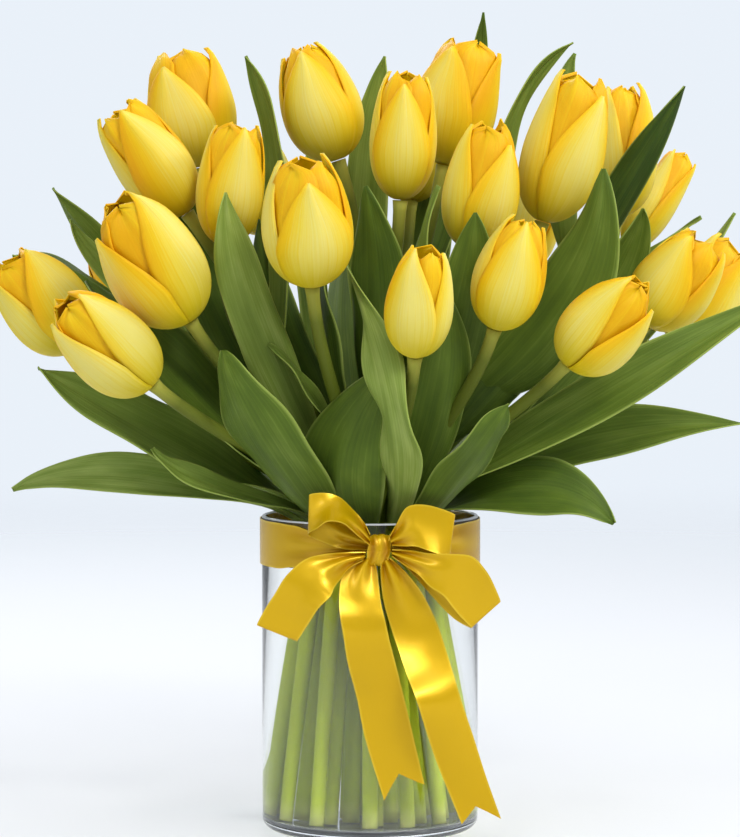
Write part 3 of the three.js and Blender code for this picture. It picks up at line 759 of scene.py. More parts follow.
def petal_surface(bloom, open_share, kind, length, middle_angle, lifted, draw):
    """The rule for one petal's surface, with small differences of its own. An outer one lies on the cup,
    lifted off it by a little so that it laps over its neighbours. The inner ones lap each over the next."""
    open_share = open_share + draw.uniform(*OPEN_RANGE)
    start = draw.uniform(0, 2 * math.pi)
    wave_height = draw.uniform(*WAVE_RANGE)
    tip_turn = draw.uniform(*TIP_TURN_RANGE)
    tip_curl = draw.uniform(*TIP_CURL_RANGE)

    def place(u, v):
        share = PETAL_ROOT + (1 - PETAL_ROOT) * v**ROOT_CROWDING
        side = 2 * u - 1
        height = length * share
        cup = cup_radius(height, open_share)
        dome = dome_share(height, open_share)
        upper = smoothstep(share, *UPPER_PART)
        tip = smoothstep(share, *TIP_PART)
        reach = petal_half_width(share, kind) / cup
        angle = middle_angle + side * kind["half_angle"] * min(1, reach) + tip_turn * upper
        wave = wave_height * side**2 * math.sin(MARGIN_WAVE * share + start + side)
        wave *= smoothstep(share, *WAVED_PART)
        rib = RIB_HEIGHT * math.exp(-((side / RIB_HALF_WIDTH) ** 2)) * smoothstep(share, *RIBBED_PART)
        if kind["inner"]:
            radius = (kind["reach"] * cup + bloom["lap"] * side - rib) * dome
            radius += wave + upper * dome * ruffle(side, start, OUTWARD_RUFFLES)
            height += tip * ruffle(side, start, UPWARD_RUFFLES)
        else:
            radius = lifted * cup * (DOME_HOLD + (1 - DOME_HOLD) * dome) + rib
            radius += wave - MARGIN_DRAWN_IN * side**2 + tip_curl * tip
        radius = max(radius, LEAST_RADIUS) * bloom["radius"]
        point = bloom["base"] + bloom["front"] * radius * math.cos(angle)
        point += bloom["side"] * radius * math.sin(angle)
        return point + bloom["axis"] * bloom["height"] * height

    return place


# %% Bloom pieces
# The turn of each petal away from the front one in radians, outer and inner ones in turn. The two outer
# petals beside the front one stand a little towards it.
PETAL_TURNS = [0, 1.05, 1.85, math.pi, -1.85, -1.05]
TURN_RANGE = (-0.08, 0.08)
# The front petal lies a little outside the cup.
FRONT_REACH = 1.03
# The inner petals of one bloom all lap the same way round, by this share of its radius.
LAPS = (-0.04, 0.04)
# How far a petal's pale middle lies to one side of its rib. Most draws lean one way, which on the front
# petals puts the pale part on the lit right side: partly tone that differs at random, partly painted light.
TONE_AND_LIGHT_LEAN_RANGE = (-0.5, 0.15)


def make_bloom(letter):
    """One bloom's six petals, joined in one piece."""
    _, _, base, top, width, open_share, turn = TULIPS[letter]
    bloom = bloom_frame(base, top, width, turn)
    draw = random.Random("bloom " + letter)
    bloom["lap"] = draw.choice(LAPS)
    tone_and_light_draw = random.Random("tint " + letter)
    tone = draw.uniform(0, 1)
    petals = []
    for number in range(len(PETAL_TURNS)):
        kind = INNER if number % 2 else OUTER
        middle = bloom["turn"] + PETAL_TURNS[number] + draw.uniform(*TURN_RANGE)
        length = draw.uniform(*kind["lengths"])
        lifted = kind["reach"]
        if number == 0:
            length = FRONT_LENGTHS.get(letter, length)
            lifted = FRONT_REACH
        surface = petal_surface(bloom, open_share, kind, length, middle, lifted, draw)
        petal = sheet_grid("petal", kind["across"], kind["along"], surface)
        apply_modifier(petal, "SOLIDIFY", thickness=PETAL_THICKNESS, offset=0)
        write_number(petal, "inner", kind["inner"])
        write_number(petal, "tone", tone)
        write_number(petal, "lean", tone_and_light_draw.uniform(*TONE_AND_LIGHT_LEAN_RANGE))
        petals.append(petal)
    piece = join_pieces(f"tulip_{letter}_petals", petals)
    return place_piece(piece, f"tulip_{letter}_bloom")


blooms = [make_bloom(letter) for letter in TULIPS]
print("blooms", len(blooms), "with", sum(triangles(bloom) for bloom in blooms), "triangles")

# %% [markdown]
# ## Petal finish
#
# A petal is pale lemon down its middle and grows warmer towards its margins, which are golden. The change
# isn't even but streaked, because the colour runs along the veins. The pale middle lies off to one side of
# the rib, which on the front petals is mostly the lit right side: partly tone that differs at random,
# partly painted light. The inner petals are golden all over, a little less so at their tops, and the lower
# part of every petal is a deeper, duller gold, partly its own colour and partly painted shade. The distance
# from the petal's middle, shaken by the lengthwise lines, goes through a colour ramp. Some light passes
# through a petal, which a little subsurface scattering gives.

# %% Petal material
# From the pale middle to the golden margins.
PETAL_STOPS = [
    (0.05, (0.82, 0.68, 0.165)),
    (0.28, (0.83, 0.6, 0.06)),
    (0.5, (0.84, 0.49, 0.006)),
    (0.85, (0.8, 0.36, 0.001)),
]
STREAK_GOLD = (0.86, 0.56, 0.02)
# The streaks' gold; then the root's deeper gold, partly its own colour and partly painted shade.
ROOT_GOLD_AND_SHADE = (0.67, 0.48, 0.008)

petal_material, petal = new_material("tulip_petal")
across, along = petal.uv()
streak = lines(petal, 46.0, 1.3, 1.9)
fine_streak = lines(petal, 130.0, 2.0, 1.6)
# How warm the colour is, from the pale middle outwards and upwards, shaken by the streaks.
# The petal's lean moves its pale middle, on the front petals mostly to the lit side: partly painted light.
across_middle = petal.math("MULTIPLY_ADD", across, 2.0, petal.math("SUBTRACT", petal.number("lean"), 1.0))
sideways = petal.math("POWER", petal.math("ABSOLUTE", across_middle), 1.5)
upper = petal.step(along, 0.35, 1.0)
warmth = petal.math("ADD", petal.math("MULTIPLY", sideways, 0.55), petal.math("MULTIPLY", upper, 0.06))
shaken = petal.math("ADD", warmth, petal.math("MULTIPLY", petal.math("SUBTRACT", streak, 0.5), 0.32))
# How much warmer an inner petal is, and a whole bloom by its own tone.
inner_share = petal.math("SUBTRACT", 0.6, petal.math("MULTIPLY", petal.step(along, 0.84, 1.0), 0.2))
inner_warmth = petal.math("MULTIPLY", petal.number("inner"), inner_share)
tone_warmth = petal.math("MULTIPLY", petal.number("tone"), 0.14)
whole_warmth = petal.math("ADD", petal.math("ADD", shaken, inner_warmth), tone_warmth, clamp=True)
# The colour, with finer streaks over it and the deeper gold towards the root, which is partly the petal's
# own colour and partly painted shade.
yellow = petal.ramp(whole_warmth, PETAL_STOPS)
streaked = petal.mix(petal.math("MULTIPLY", fine_streak, 0.15), yellow, STREAK_GOLD)
near_root = petal.math("SUBTRACT", 1.0, petal.step(along, 0.18, 0.68))
root_gold_and_shade_share = petal.math("MULTIPLY", near_root, petal.math("MULTIPLY_ADD", streak, 0.3, 0.72))
petal.feed(
    petal.shader,
    {
        "Base Color": petal.mix(root_gold_and_shade_share, streaked, ROOT_GOLD_AND_SHADE),
        "Roughness": 0.5,
        "Specular IOR Level": 0.15,
        "Subsurface Weight": 0.32,
        "Subsurface Radius": (0.006, 0.0042, 0.0008),
        "Subsurface Scale": 1.0,
    },
)
petal.bump(petal.math("ADD", streak, petal.math("MULTIPLY", fine_streak, 0.5)), 0.18, 0.0006)
for bloom in blooms:
    bloom.data.materials.append(petal_material)
print("petal finish:", len(petal.tree.nodes), "nodes")

# %% [markdown]
# ## The stems
#
# Each stem stands with its cut foot on the glass, runs straight through the water to the neck of the bunch
# and bends out from there to its bloom. The feet stand in three rings, and the stems lean inwards ring by
# ring, so they cross the vase without touching. A stem is a grid rolled into a tube about its curve: the
# seam's points are merged and the two ends filled. It grows a little slimmer upwards and widens again
# just under the bloom.

# %% Stem rules
# The heights of the bunch's neck and of the cut feet, and how far a stem ends short of its bloom's base.
NECK_HEIGHT = 128
FOOT_HEIGHT = 5.3
SEAT = 0.3
# Each ring's radius at the cut feet and at the neck of the bunch. All of these are in millimetres.
RINGS = {"outer": (37, 21), "middle": (25, 13), "inner": (10, 5.5)}
STEM_RADIUS = 3.3 * MM
STEM_AROUND = 14
STEM_ALONG = 56
# The share of a stem that is straight, and the lengths of its curve's two handles as shares of the
# curve's reach.
FOOT_SHARE = 0.35
LOWER_HANDLE = 0.3
UPPER_HANDLE = 0.35
# How much slimmer a stem grows and how much it widens again under its bloom, each over a part of its length.
STEM_SLIMMING = 0.1
SLIMMING_PART = (0.3, 0.9)
STEM_WIDENING = 0.18
WIDENING_PART = (0.975, 1)
MERGE_DISTANCE = 0.01 * MM


def polar(radius, degrees, height):
    """A place in metres from a radius and a height in millimetres and a direction in degrees."""
    angle = math.radians(degrees)
    return metres((radius * math.cos(angle), radius * math.sin(angle), height))


def stem_curve(letter):
    """A stem's foot, and the four points of its upper curve."""
    ring, degrees, base, top, *_ = TULIPS[letter]
    foot_radius, neck_radius = RINGS[ring]
    foot = polar(foot_radius, degrees, FOOT_HEIGHT)
    neck = polar(neck_radius, degrees, NECK_HEIGHT)
    base, top = metres(base), metres(top)
    axis = (top - base).normalized()
    end = base - axis * SEAT * MM
    reach = (end - neck).length
    lean = (neck - foot).normalized()
    upper = [neck, neck + lean * LOWER_HANDLE * reach, end - axis * UPPER_HANDLE * reach, end]
    return foot, upper


def stem_place(letter, share):
    """A stem's centre and direction at a share of its length."""
    foot, upper = stem_curve(letter)
    if share < FOOT_SHARE:
        return foot.lerp(upper[0], share / FOOT_SHARE), (upper[0] - foot).normalized()
    return cubic(upper, (share - FOOT_SHARE) / (1 - FOOT_SHARE))


def carried_sides(directions, side):
    """The side direction at each place, carried along so that it never twists."""
    sides = []
    for forward in directions:
        side = (side - forward * side.dot(forward)).normalized()
        sides.append(side)
    return sides


def make_stem(letter):
    """One stem as a closed tube."""
    places = [stem_place(letter, step / STEM_ALONG) for step in range(STEM_ALONG + 1)]
    sides = carried_sides([forward for _, forward in places], Vector((1, 0, 0)))

    def place(u, v):
        step = round(v * STEM_ALONG)
        centre, forward = places[step]
        slimmer = STEM_SLIMMING * smoothstep(v, *SLIMMING_PART)
        wider = STEM_WIDENING * smoothstep(v, *WIDENING_PART)
        radius = STEM_RADIUS * (1 - slimmer + wider)
        side = sides[step]
        other = forward.cross(side)
        angle = 2 * math.pi * u
        return centre + side * radius * math.cos(angle) + other * radius * math.sin(angle)

    stem = sheet_grid("stem", STEM_AROUND, STEM_ALONG, place)
    bpy.ops.object.mode_set(mode="EDIT")
    bpy.ops.mesh.select_all(action="SELECT")
    bpy.ops.mesh.remove_doubles(threshold=MERGE_DISTANCE)
    bpy.ops.mesh.fill_holes(sides=0)
    bpy.ops.object.mode_set(mode="OBJECT")
    return stem


# %% [markdown]
# ## The leaves
#
# A tulip's leaf clasps the stem where it starts, widens to a long blade and ends in a blunt point. Along
# most of it the blade is a shallow trough with waved margins. The rule lays the blade on a curved midrib
# with one bend, turns it about the midrib as it leaves the stem, and curls its section. Close to the
# root, the curl tightens until the blade wraps half the stem.

# %% Leaves
# Each leaf, in millimetres: its stem, the height where it leaves it, a point half way along its midrib, its
# tip, its width and its turn in degrees; then how light it is, from 0 to 1, and how deep its margins wave.
LEAVES = [
    # the front, from left to right
    ("q", 136, (-49, -67, 187), (-66, -72, 228), 42, 0, 0.45, 1.5),
    ("p", 138, (-14.6, -54.6, 176), (11, -51, 221), 46, 0, 0.4, 1.2),
    ("o", 146, (9.4, -87, 200), (-10, -46, 266), 23, 0, 0.85, 4.2),
    ("o", 142, (32, -60, 205), (33, -64, 257), 30, 0, 0.4, 1.6),
    ("n", 136, (45, -80, 178), (61, -94, 205), 24, 0, 0.38, 1.5),
    ("e", 165, (-27, -38, 206), (-46, -46, 230), 12, 0, 0.6, 1.0),
    ("c", 165, (-53, -50, 245), (-65, -60, 299), 25, 0, 0.8, 2.2),
    ("f", 185, (3, -34, 250), (-2, -42, 302), 32, 0, 0.3, 1.5),
    ("h", 195, (20, -42, 258), (31, -58, 302), 16, 0, 0.7, 1.0),
    ("i", 150, (39.5, -46, 232), (47.5, -60, 290), 33, 0, 0.4, 1.5),
    # the left side
    ("s", 142, (-86, -31.5, 212), (-132, -20, 258), 44, -25, 0.3, 2.5),
    ("s", 148, (-76, -36, 166), (-100, -42, 182), 13, -40, 0.7, 1.0),
    ("r", 144, (-95.5, -14, 184.5), (-155, -12, 217.5), 36, -60, 0.7, 1.8),
    ("r", 142, (-109, 10, 165.5), (-170, 14, 158.5), 22, -65, 0.9, 1.5),
    ("r", 170, (-122, 26, 248), (-171, 30, 269), 27, -60, 0.5, 1.5),
    ("b", 170, (-105, 10, 243), (-142, 12, 287), 14, -50, 0.7, 1.0),
    ("w", 175, (-110, 38, 250), (-152, 34, 302), 24, -50, 0.6, 1.2),
    ("b", 160, (-72.5, 0.5, 236), (-83, 6, 302), 32, -60, 0.25, 1.0),
    # the top
    ("c", 205, (-41, -9, 300), (-58, -6, 363), 23.5, 0, 0.65, 1.2),
    ("d", 225, (-1, 32, 305), (7, 36, 365), 22, 0, 0.7, 1.0),
    ("g", 235, (44, 50, 315), (55, 54, 387), 17, 0, 0.35, 1.0),
    ("i", 240, (65, 26, 326), (97, 30, 371), 13, 0, 0.6, 1.0),
    ("j", 240, (90, 47, 318), (99, 50, 367), 20, 60, 0.7, 1.0),
    # the right side
    ("j", 200, (111, 8, 287), (147, -4, 349), 20, 50, 0.05, 1.8),
    ("i", 190, (86, -36, 246), (107, -38, 310), 41, -60, 0.45, 2.0),
    ("l", 190, (112, 2, 250), (128, -4, 292), 26, -50, 0.5, 1.2),
    ("k", 195, (118, 46, 256), (160, 46, 288), 15, 30, 0.7, 1.0),
    ("m", 185, (142, 50, 246), (178, 62, 290), 21, 45, 0.8, 1.0),
    ("n", 152, (105, -46, 205.5), (188, -22, 252), 26, 50, 0.5, 1.6),
    ("m", 146, (92, 6, 180), (176, 10, 190.5), 34, 60, 0.5, 1.5),
    ("l", 150, (98, -22, 198), (129, -26, 231), 20, 60, 0.6, 1.5),
    ("n", 142, (73, -38, 163), (112, -44, 147.5), 33, 50, 0.35, 1.8),
    # deep inside
    ("d", 160, (-39.5, -4, 227.5), (-52, 3, 287), 25.5, 60, 0.2, 1.5),
    ("f", 160, (-20, -15, 225), (-22, -19, 277), 38, 0, 0.2, 1.5),
    ("i", 165, (62, -20, 212), (90, -14, 254), 26, -40, 0.25, 1.5),
    # the back
    ("k", 146, (85, 58, 190), (150, 92, 230), 28, 0, 0.5, 1.5),
    ("v", 144, (48, 95, 185), (84, 150, 205), 30, 0, 0.5, 1.5),
    ("v", 170, (52, 66, 240), (52, 104, 322), 40, 0, 0.4, 1.5),
    ("x", 144, (-10, 92, 176), (-16, 160, 184), 30, 0, 0.55, 1.5),
    ("x", 165, (-15, 92, 229), (-8, 140, 290), 32, 0, 0.45, 1.5),
    ("w", 144, (-84, 74, 178), (-138, 112, 192), 30, 0, 0.5, 1.5),
    ("u", 170, (24, 62, 250), (40, 112, 340), 38, 0, 0.5, 1.5),
    ("t", 175, (-28, 60, 270), (-20, 78, 352), 36, 0, 0.45, 1.5),
]
print("leaves:", len(LEAVES))

# %% Leaf rules
LEAF_ACROSS = 12
LEAF_ALONG = 40
LEAF_THICKNESS = 0.6 * MM
# Where along its length a leaf is widest, its half widths at its root and tip in millimetres, and the
# powers of the curves from the widest place to both ends.
LEAF_WIDEST = 0.4
ROOT_HALF_WIDTH = 4.6
TIP_HALF_WIDTH = 0.5
ROOT_CURVE = 1.7
TIP_FULLNESS = 0.85
# How tightly the section curls, as half its angle in radians: at the tip, how much more towards the root,
# and where it clasps the stem. The clasping part ends at a share of the length, and lies a little off the
# stem. A leaf has turned about its midrib by a share of its length too.
TIP_CURL = 0.4
MORE_CURL = 0.5
SHEATH_CURL = 1.45
SHEATH_END = 0.14
SHEATH_GAP = 0.3 * MM
TURN_END = 0.5
# The waves of the margins along a leaf, how far in radians they run ahead at one margin and behind at the
# other, and the part of its length over which they come in.
LEAF_WAVES = 2.3
WAVE_SLANT = 1.4
LEAF_WAVED_PART = (0.1, 0.45)
# The keel along the back of the midrib, its half width as a share of half the blade's.
KEEL_DEPTH = 0.6 * MM
KEEL_HALF_WIDTH = 0.1
# How often a range is halved to find a place on a stem.
HALVINGS = 24


def blade_half_width(share, width):
    """Half the blade's width in millimetres at a share of its length."""
    half = width / 2
    if share < LEAF_WIDEST:
        return half - (half - ROOT_HALF_WIDTH) * ((LEAF_WIDEST - share) / LEAF_WIDEST) ** ROOT_CURVE
    past = (share - LEAF_WIDEST) / (1 - LEAF_WIDEST)
    return max(half * (1 - past**2) ** TIP_FULLNESS, TIP_HALF_WIDTH)


def share_at_height(upper, height):
    """The share of a rising curve where it passes a height, found by halving."""
    low, high = 0.0, 1.0
    for _ in range(HALVINGS):
        share = (low + high) / 2
        if cubic(upper, share)[0].z < height * MM:
            low = share
        else:
            high = share
    return low


def leaf_surface(leaf):
    """The rule for one leaf's surface."""
    letter, height, half, tip, width, turn, _, wave_height = leaf
    upper = stem_curve(letter)[1]
    root, stem_direction = cubic(upper, share_at_height(upper, height))
    half, tip = metres(half), metres(tip)
    outward = half - root
    outward = (outward - stem_direction * outward.dot(stem_direction)).normalized()
    midrib = [root, half * 2 - (root + tip) / 2, tip]
    places = [quadratic(midrib, step / LEAF_ALONG) for step in range(LEAF_ALONG + 1)]
    first_side = places[0][1].cross(outward).normalized()
    sides = carried_sides([forward for _, forward in places], first_side)
    draw = random.Random(f"leaf {letter} {height} {width}")
    wave_start = draw.uniform(0, 2 * math.pi)

    def place(u, v):
        centre, forward = places[round(v * LEAF_ALONG)]
        level_side = sides[round(v * LEAF_ALONG)]
        angle = smoothstep(v, 0, TURN_END) * math.radians(turn)
        side = level_side * math.cos(angle) + forward.cross(level_side) * math.sin(angle)
        inward = forward.cross(side)
        off = 2 * u - 1
        sheath = 1 - smoothstep(v, 0, SHEATH_END)
        curl = TIP_CURL + MORE_CURL * (1 - v) ** 2
        curl += (SHEATH_CURL - curl) * sheath
        radius = blade_half_width(v, width) / curl * MM
        edge = off * off * smoothstep(v, *LEAF_WAVED_PART) * wave_height * MM
        wave = edge * math.sin(2 * math.pi * LEAF_WAVES * v + WAVE_SLANT * off + wave_start)
        keel = KEEL_DEPTH * math.exp(-((off / KEEL_HALF_WIDTH) ** 2)) * (1 - sheath)
        point = centre + side * radius * math.sin(off * curl)
        point += inward * (radius * (1 - math.cos(off * curl)) + wave - keel)
        return point - inward * (STEM_RADIUS + SHEATH_GAP) * sheath

    return place


# %% Leafy stems
def mark_part(part, tone, blade):
    """Stores a part's tone on it, and a 1 if it is a leaf's blade, for the material."""
    write_number(part, "tone", tone)
    write_number(part, "blade", blade)
    return part


def make_leaf(leaf):
    """One leaf with its thickness."""
    blade = sheet_grid("leaf", LEAF_ACROSS, LEAF_ALONG, leaf_surface(leaf))
    apply_modifier(blade, "SOLIDIFY", thickness=LEAF_THICKNESS, offset=0)
    return mark_part(blade, tone=leaf[6], blade=1.0)


def make_leafy_stem(letter):
    """One stem with all of its leaves, as one piece."""
    grown = [mark_part(make_stem(letter), tone=0.5, blade=0.0)]
    grown += [make_leaf(leaf) for leaf in LEAVES if leaf[0] == letter]
    piece = join_pieces(f"tulip_{letter}_stem_and_leaves", grown)
    return place_piece(piece, f"tulip_{letter}_leafy_stem")


leafy_stems = [make_leafy_stem(letter) for letter in TULIPS]
print("leafy stems", len(leafy_stems), "with", sum(triangles(piece) for piece in leafy_stems), "triangles")

# %% [markdown]
# ## Leaf and stem finish
#
# A leaf is a soft green, lined with parallel veins, and has a thin pale margin. Its tone is its own, read
# from the number that its points hold. A stem is a bright yellow-green where it stands in the water, dark
# green above the vase and pale just under its flower. Both are in one material, since they are one piece:
# a second number tells blade from stem.

# %% Leaf and stem material
# A blade's green from the darkest tone to the lightest, and a stem's from its cut foot to the bloom.
BLADE_STOPS = [
    (0.0, (0.03, 0.058, 0.008)),
    (0.45, (0.09, 0.142, 0.015)),
    (0.8, (0.185, 0.255, 0.044)),
    (1.0, (0.285, 0.355, 0.088)),
]
STEM_STOPS = [
    (0.0, (0.6, 0.62, 0.2)),
    (0.03, (0.42, 0.5, 0.02)),
    (0.3, (0.47, 0.54, 0.015)),
    (0.45, (0.105, 0.15, 0.002)),
    (0.93, (0.125, 0.135, 0.015)),
    (1.0, (0.42, 0.4, 0.06)),
]
PALE_MARGIN = (0.36, 0.44, 0.1)
STEM_STREAK = (0.1, 0.2, 0.03)

leaf_material, leaf = new_material("tulip_green")
across, along = leaf.uv()
veins = lines(leaf, 34.0, 0.8, 1.7)
fine_veins = lines(leaf, 120.0, 1.5, 1.5)
cloud = lines(leaf, 3.0, 3.5, 1.8)
vein_tone = leaf.math("MULTIPLY_ADD", veins, 0.26, -0.13)
cloud_tone = leaf.math("MULTIPLY_ADD", cloud, 0.4, -0.2)
lightness = leaf.math("ADD", leaf.math("ADD", leaf.number("tone"), vein_tone), cloud_tone, clamp=True)
margin = leaf.step(leaf.off_middle(across), 0.9, 1.0)
blade_green = leaf.mix(leaf.math("MULTIPLY", margin, 0.6), leaf.ramp(lightness, BLADE_STOPS), PALE_MARGIN)
stem_green = leaf.mix(leaf.math("MULTIPLY", fine_veins, 0.3), leaf.ramp(along, STEM_STOPS), STEM_STREAK)
leaf.feed(
    leaf.shader,
    {
        "Base Color": leaf.mix(leaf.number("blade"), stem_green, blade_green),
        "Roughness": 0.5,
        "Specular IOR Level": 0.12,
        "Subsurface Weight": 0.1,
        "Subsurface Radius": (0.001, 0.002, 0.0005),
        "Subsurface Scale": 1.0,
    },
)
leaf.bump(leaf.math("ADD", veins, leaf.math("MULTIPLY", fine_veins, 0.4)), 0.24, 0.0008)
for piece in leafy_stems:
    piece.data.materials.append(leaf_material)
print("leaf finish:", len(leaf.tree.nodes), "nodes")

# %% [markdown]
# ## The satin ribbon
#
# One ribbon about 21 mm wide is tied round the glass. It is made strip by strip, as it was tied: a band
# round the vase, four loops, two tails and the strip that binds them. A strip lies between two edges, and
# each edge is a smooth curve through points that follow the photograph: the loops leave the knot narrow
# and gathered, swell to full width, fold over far out and come back behind themselves. Near the knot the
# cloth is pleated. A cloth simulation would settle the folds in its own way, and these folds have to lie
# as they do in the photograph.

# %% Ribbon sizes
RIBBON_THICKNESS = 0.45 * MM
# The length of flat ribbon in each piece, in metres: that of the modelled strip's middle line. A loop's
# goes from the knot out and back again, and a tail's to the two points of its end.
LOOP_LENGTHS = {
    "bow_loop_upper_left": 0.067,
    "bow_loop_upper_right": 0.061,
    "bow_loop_lower_left": 0.114,
    "bow_loop_lower_right": 0.108,
}
TAIL_LENGTHS = {"bow_tail_left": 0.104, "bow_tail_right": 0.124}
BAND_LENGTH = 0.326
# The knot is ribbon that is folded narrow.
KNOT_FLAT = (0.012, 0.035)
# The depth of the V cut in a tail's end, as a share of the tail's length.
NOTCH = 0.038
flat_length = sum(LOOP_LENGTHS.values()) + sum(TAIL_LENGTHS.values()) + BAND_LENGTH + KNOT_FLAT[1]
print("flat ribbon", round(flat_length, 3), "m")

# %% Edges of the loops
# The two edges of each loop, in millimetres, from the knot out to the fold and back behind it.
LOOPS = {
    "bow_loop_upper_left": (
        [
            (0, -59, 144), (-3, -60, 150), (-8, -60, 155.5), (-14, -60, 161), (-21, -61, 163),
            (-27.5, -60, 162), (-22, -56.5, 159), (-12, -55.8, 151.5), (-1, -56, 143.5),
        ],
        [
            (0, -60, 139), (-6, -66, 144.5), (-12, -71, 150), (-19, -72, 151), (-24, -69, 147.5),
            (-28, -63, 144), (-21, -58, 140), (-12, -56.5, 137), (-1, -56, 136.5),
        ],
    ),
    "bow_loop_upper_right": (
        [
            (9, -59, 143), (12, -61, 149), (16, -63, 156), (21, -64, 158), (29, -63, 157), (38.5, -60, 153),
            (30, -57, 152), (18, -56, 147), (10, -56, 142),
        ],
        [
            (10, -60, 139), (16, -64, 139), (21, -66, 139), (27, -67, 137), (33, -66, 135), (36, -62, 133),
            (28, -58, 132), (18, -56.5, 135.5), (10, -56, 138),
        ],
    ),
    "bow_loop_lower_left": (
        [
            (-2, -60, 136), (-12, -63, 136), (-22, -66, 135.5), (-30, -68, 133), (-38, -70, 126),
            (-43, -69, 118), (-48, -67, 110), (-51, -65, 103.5), (-41, -60, 117), (-26, -57, 128),
            (-10, -55.5, 133), (-2, -55, 134.5),
        ],
        [
            (-3, -58, 132), (-9, -61, 129), (-13, -66, 124.5), (-16, -71, 121), (-18, -74, 117),
            (-23, -74, 112), (-28, -70, 104), (-33, -66, 96), (-26, -60, 108), (-16, -57, 120),
            (-7, -55.5, 130), (-2, -55, 133),
        ],
    ),
    "bow_loop_lower_right": (
        [
            (10, -59, 137), (18, -63, 137), (27, -66, 136), (37, -69, 136), (46, -70, 135), (52, -69, 129),
            (56, -66, 122), (59, -62, 113.5), (50, -59, 124), (36, -56, 131), (20, -55, 136), (10, -55, 136),
        ],
        [
            (10, -59, 134), (16, -62, 130), (22, -65, 126), (27, -67, 121), (33, -68, 117), (37, -67, 112),
            (41, -65, 107), (46, -62, 101.5), (38, -57.5, 105.5), (28, -54.5, 115.5), (18, -54.5, 127),
            (10, -55, 134),
        ],
    ),
}
print("points on the loops' edges:", sum(len(edge) for edges in LOOPS.values() for edge in edges))

# %% Edges of the tails
# The two edges of each tail, in millimetres, from the knot down to the points of its end.
TAILS = {
    "bow_tail_left": (
        [
            (-3, -58, 133), (-9, -58, 130), (-13, -60, 124), (-14, -63.5, 116), (-13.5, -67.5, 107),
            (-12, -67.5, 98), (-10, -63, 85), (-6, -57, 69), (-2, -54.5, 49), (6.5, -54, 21),
        ],
        [
            (1, -57.5, 132), (3, -58, 128), (4, -60, 121), (5, -63.5, 113), (7, -67, 105),
            (9, -67, 96), (12, -62.5, 84), (16, -57, 67), (20, -54.5, 50), (25, -54, 28.5),
        ],
    ),
    "bow_tail_right": (
        [
            (5, -58, 131), (5, -57.5, 124), (6, -57.5, 114), (9, -59, 103), (13, -62.5, 91), (17, -67.5, 80),
            (21, -72.5, 70), (24, -70.5, 60), (29, -64, 44), (35, -59, 28), (42, -56, 10.5),
        ],
        [
            (9, -58, 133), (14, -58, 129), (21, -58, 121), (26, -58, 113), (31, -58, 102), (35, -61.5, 90),
            (39, -66.5, 77), (42, -66.5, 67), (47, -63, 52), (53, -59, 33), (60, -56, 13),
        ],
    ),
}
print("points on the tails' edges:", sum(len(edge) for edges in TAILS.values() for edge in edges))

# %% Strip rules
# The pleats across a gathered end, and where in radians their wave starts.
PLEATS = 1.7
PLEAT_START = 0.7
PLEAT_DEPTH = 1.3 * MM
# The shares of a strip's length over which it is gathered, from its near end and from its far end.
NEAR_GATHER = 0.38
FAR_GATHER = 0.3
# The waves of the slow swell along a strip, and its depth.
SWELLS = 1.6
SWELL_DEPTH = 1.2 * MM
# Folds softer than this are shaded smooth.
SOFT_FOLD = math.radians(60)


def strip_surface(edges, far_end, notch):
    """The rule for a strip between two edges, with soft pleats near the ends that are gathered and a slow
    swell of its middle, forwards and back."""
    first, second = [[metres(point) for point in edge] for edge in edges]

    def place(u, v):
        v *= 1 - notch * (1 - abs(2 * u - 1))
        point = through(first, v)[0].lerp(through(second, v)[0], u)
        near_share = 1 - smoothstep(v, 0, NEAR_GATHER)
        far_share = far_end * (1 - smoothstep(1 - v, 0, FAR_GATHER))
        gathered = max(near_share, far_share)
        pleat = math.cos(2 * math.pi * PLEATS * u + PLEAT_START)
        swell = math.sin(math.pi * u) * math.sin(2 * math.pi * SWELLS * v) * (1 - gathered)
        return point + Vector((0, -PLEAT_DEPTH * gathered * pleat - SWELL_DEPTH * swell, 0))

    return place


def make_strip(name, surface, across, along, far_end=1.0):
    """A strip of ribbon with its thickness. A far end of 1 is gathered too. Prints the cloth's size."""
    strip = sheet_grid(name + "_satin", across, along, surface)
    area = sum(face.area for face in strip.data.polygons)
    middle = [surface(0.5, step / along) for step in range(along + 1)]
    length = sum((after - before).length for before, after in zip(middle, middle[1:]))
    print(f"{name}: {length:.4f} m long, {area * 1e4:.2f} cm2, {area / length:.4f} m wide on average")
    apply_modifier(strip, "SOLIDIFY", thickness=RIBBON_THICKNESS, offset=0)
    write_number(strip, "far_end", far_end)
    bpy.ops.object.shade_smooth_by_angle(angle=SOFT_FOLD)
    return place_piece(strip, name)


# %% Loops and tails
# The faces across every strip, and along each kind.
ACROSS_STRIP = 20
ALONG_LOOP = 72
ALONG_TAIL = 80

ribbon_pieces = []
for name, edges in LOOPS.items():
    loop = make_strip(name, strip_surface(edges, 1.0, 0), ACROSS_STRIP, ALONG_LOOP)
    ribbon_pieces.append(loop)
for name, edges in TAILS.items():
    tail = make_strip(name, strip_surface(edges, 0.0, NOTCH), ACROSS_STRIP, ALONG_TAIL, far_end=0.0)
    ribbon_pieces.append(tail)
print("loops and tails", sum(triangles(piece) for piece in ribbon_pieces), "triangles")

# %% Band round the vase
ALONG_BAND = 180
BAND_GAP = 0.75 * MM
BAND_RADIUS = VASE_RADIUS + BAND_GAP
# The knot sits a little to the right of the vase's middle, on the band's outside. Both are in millimetres.
KNOT_OFFSET = 4
KNOT_RADIUS = 52
KNOT_ANGLE = math.degrees(math.asin(KNOT_OFFSET / KNOT_RADIUS))
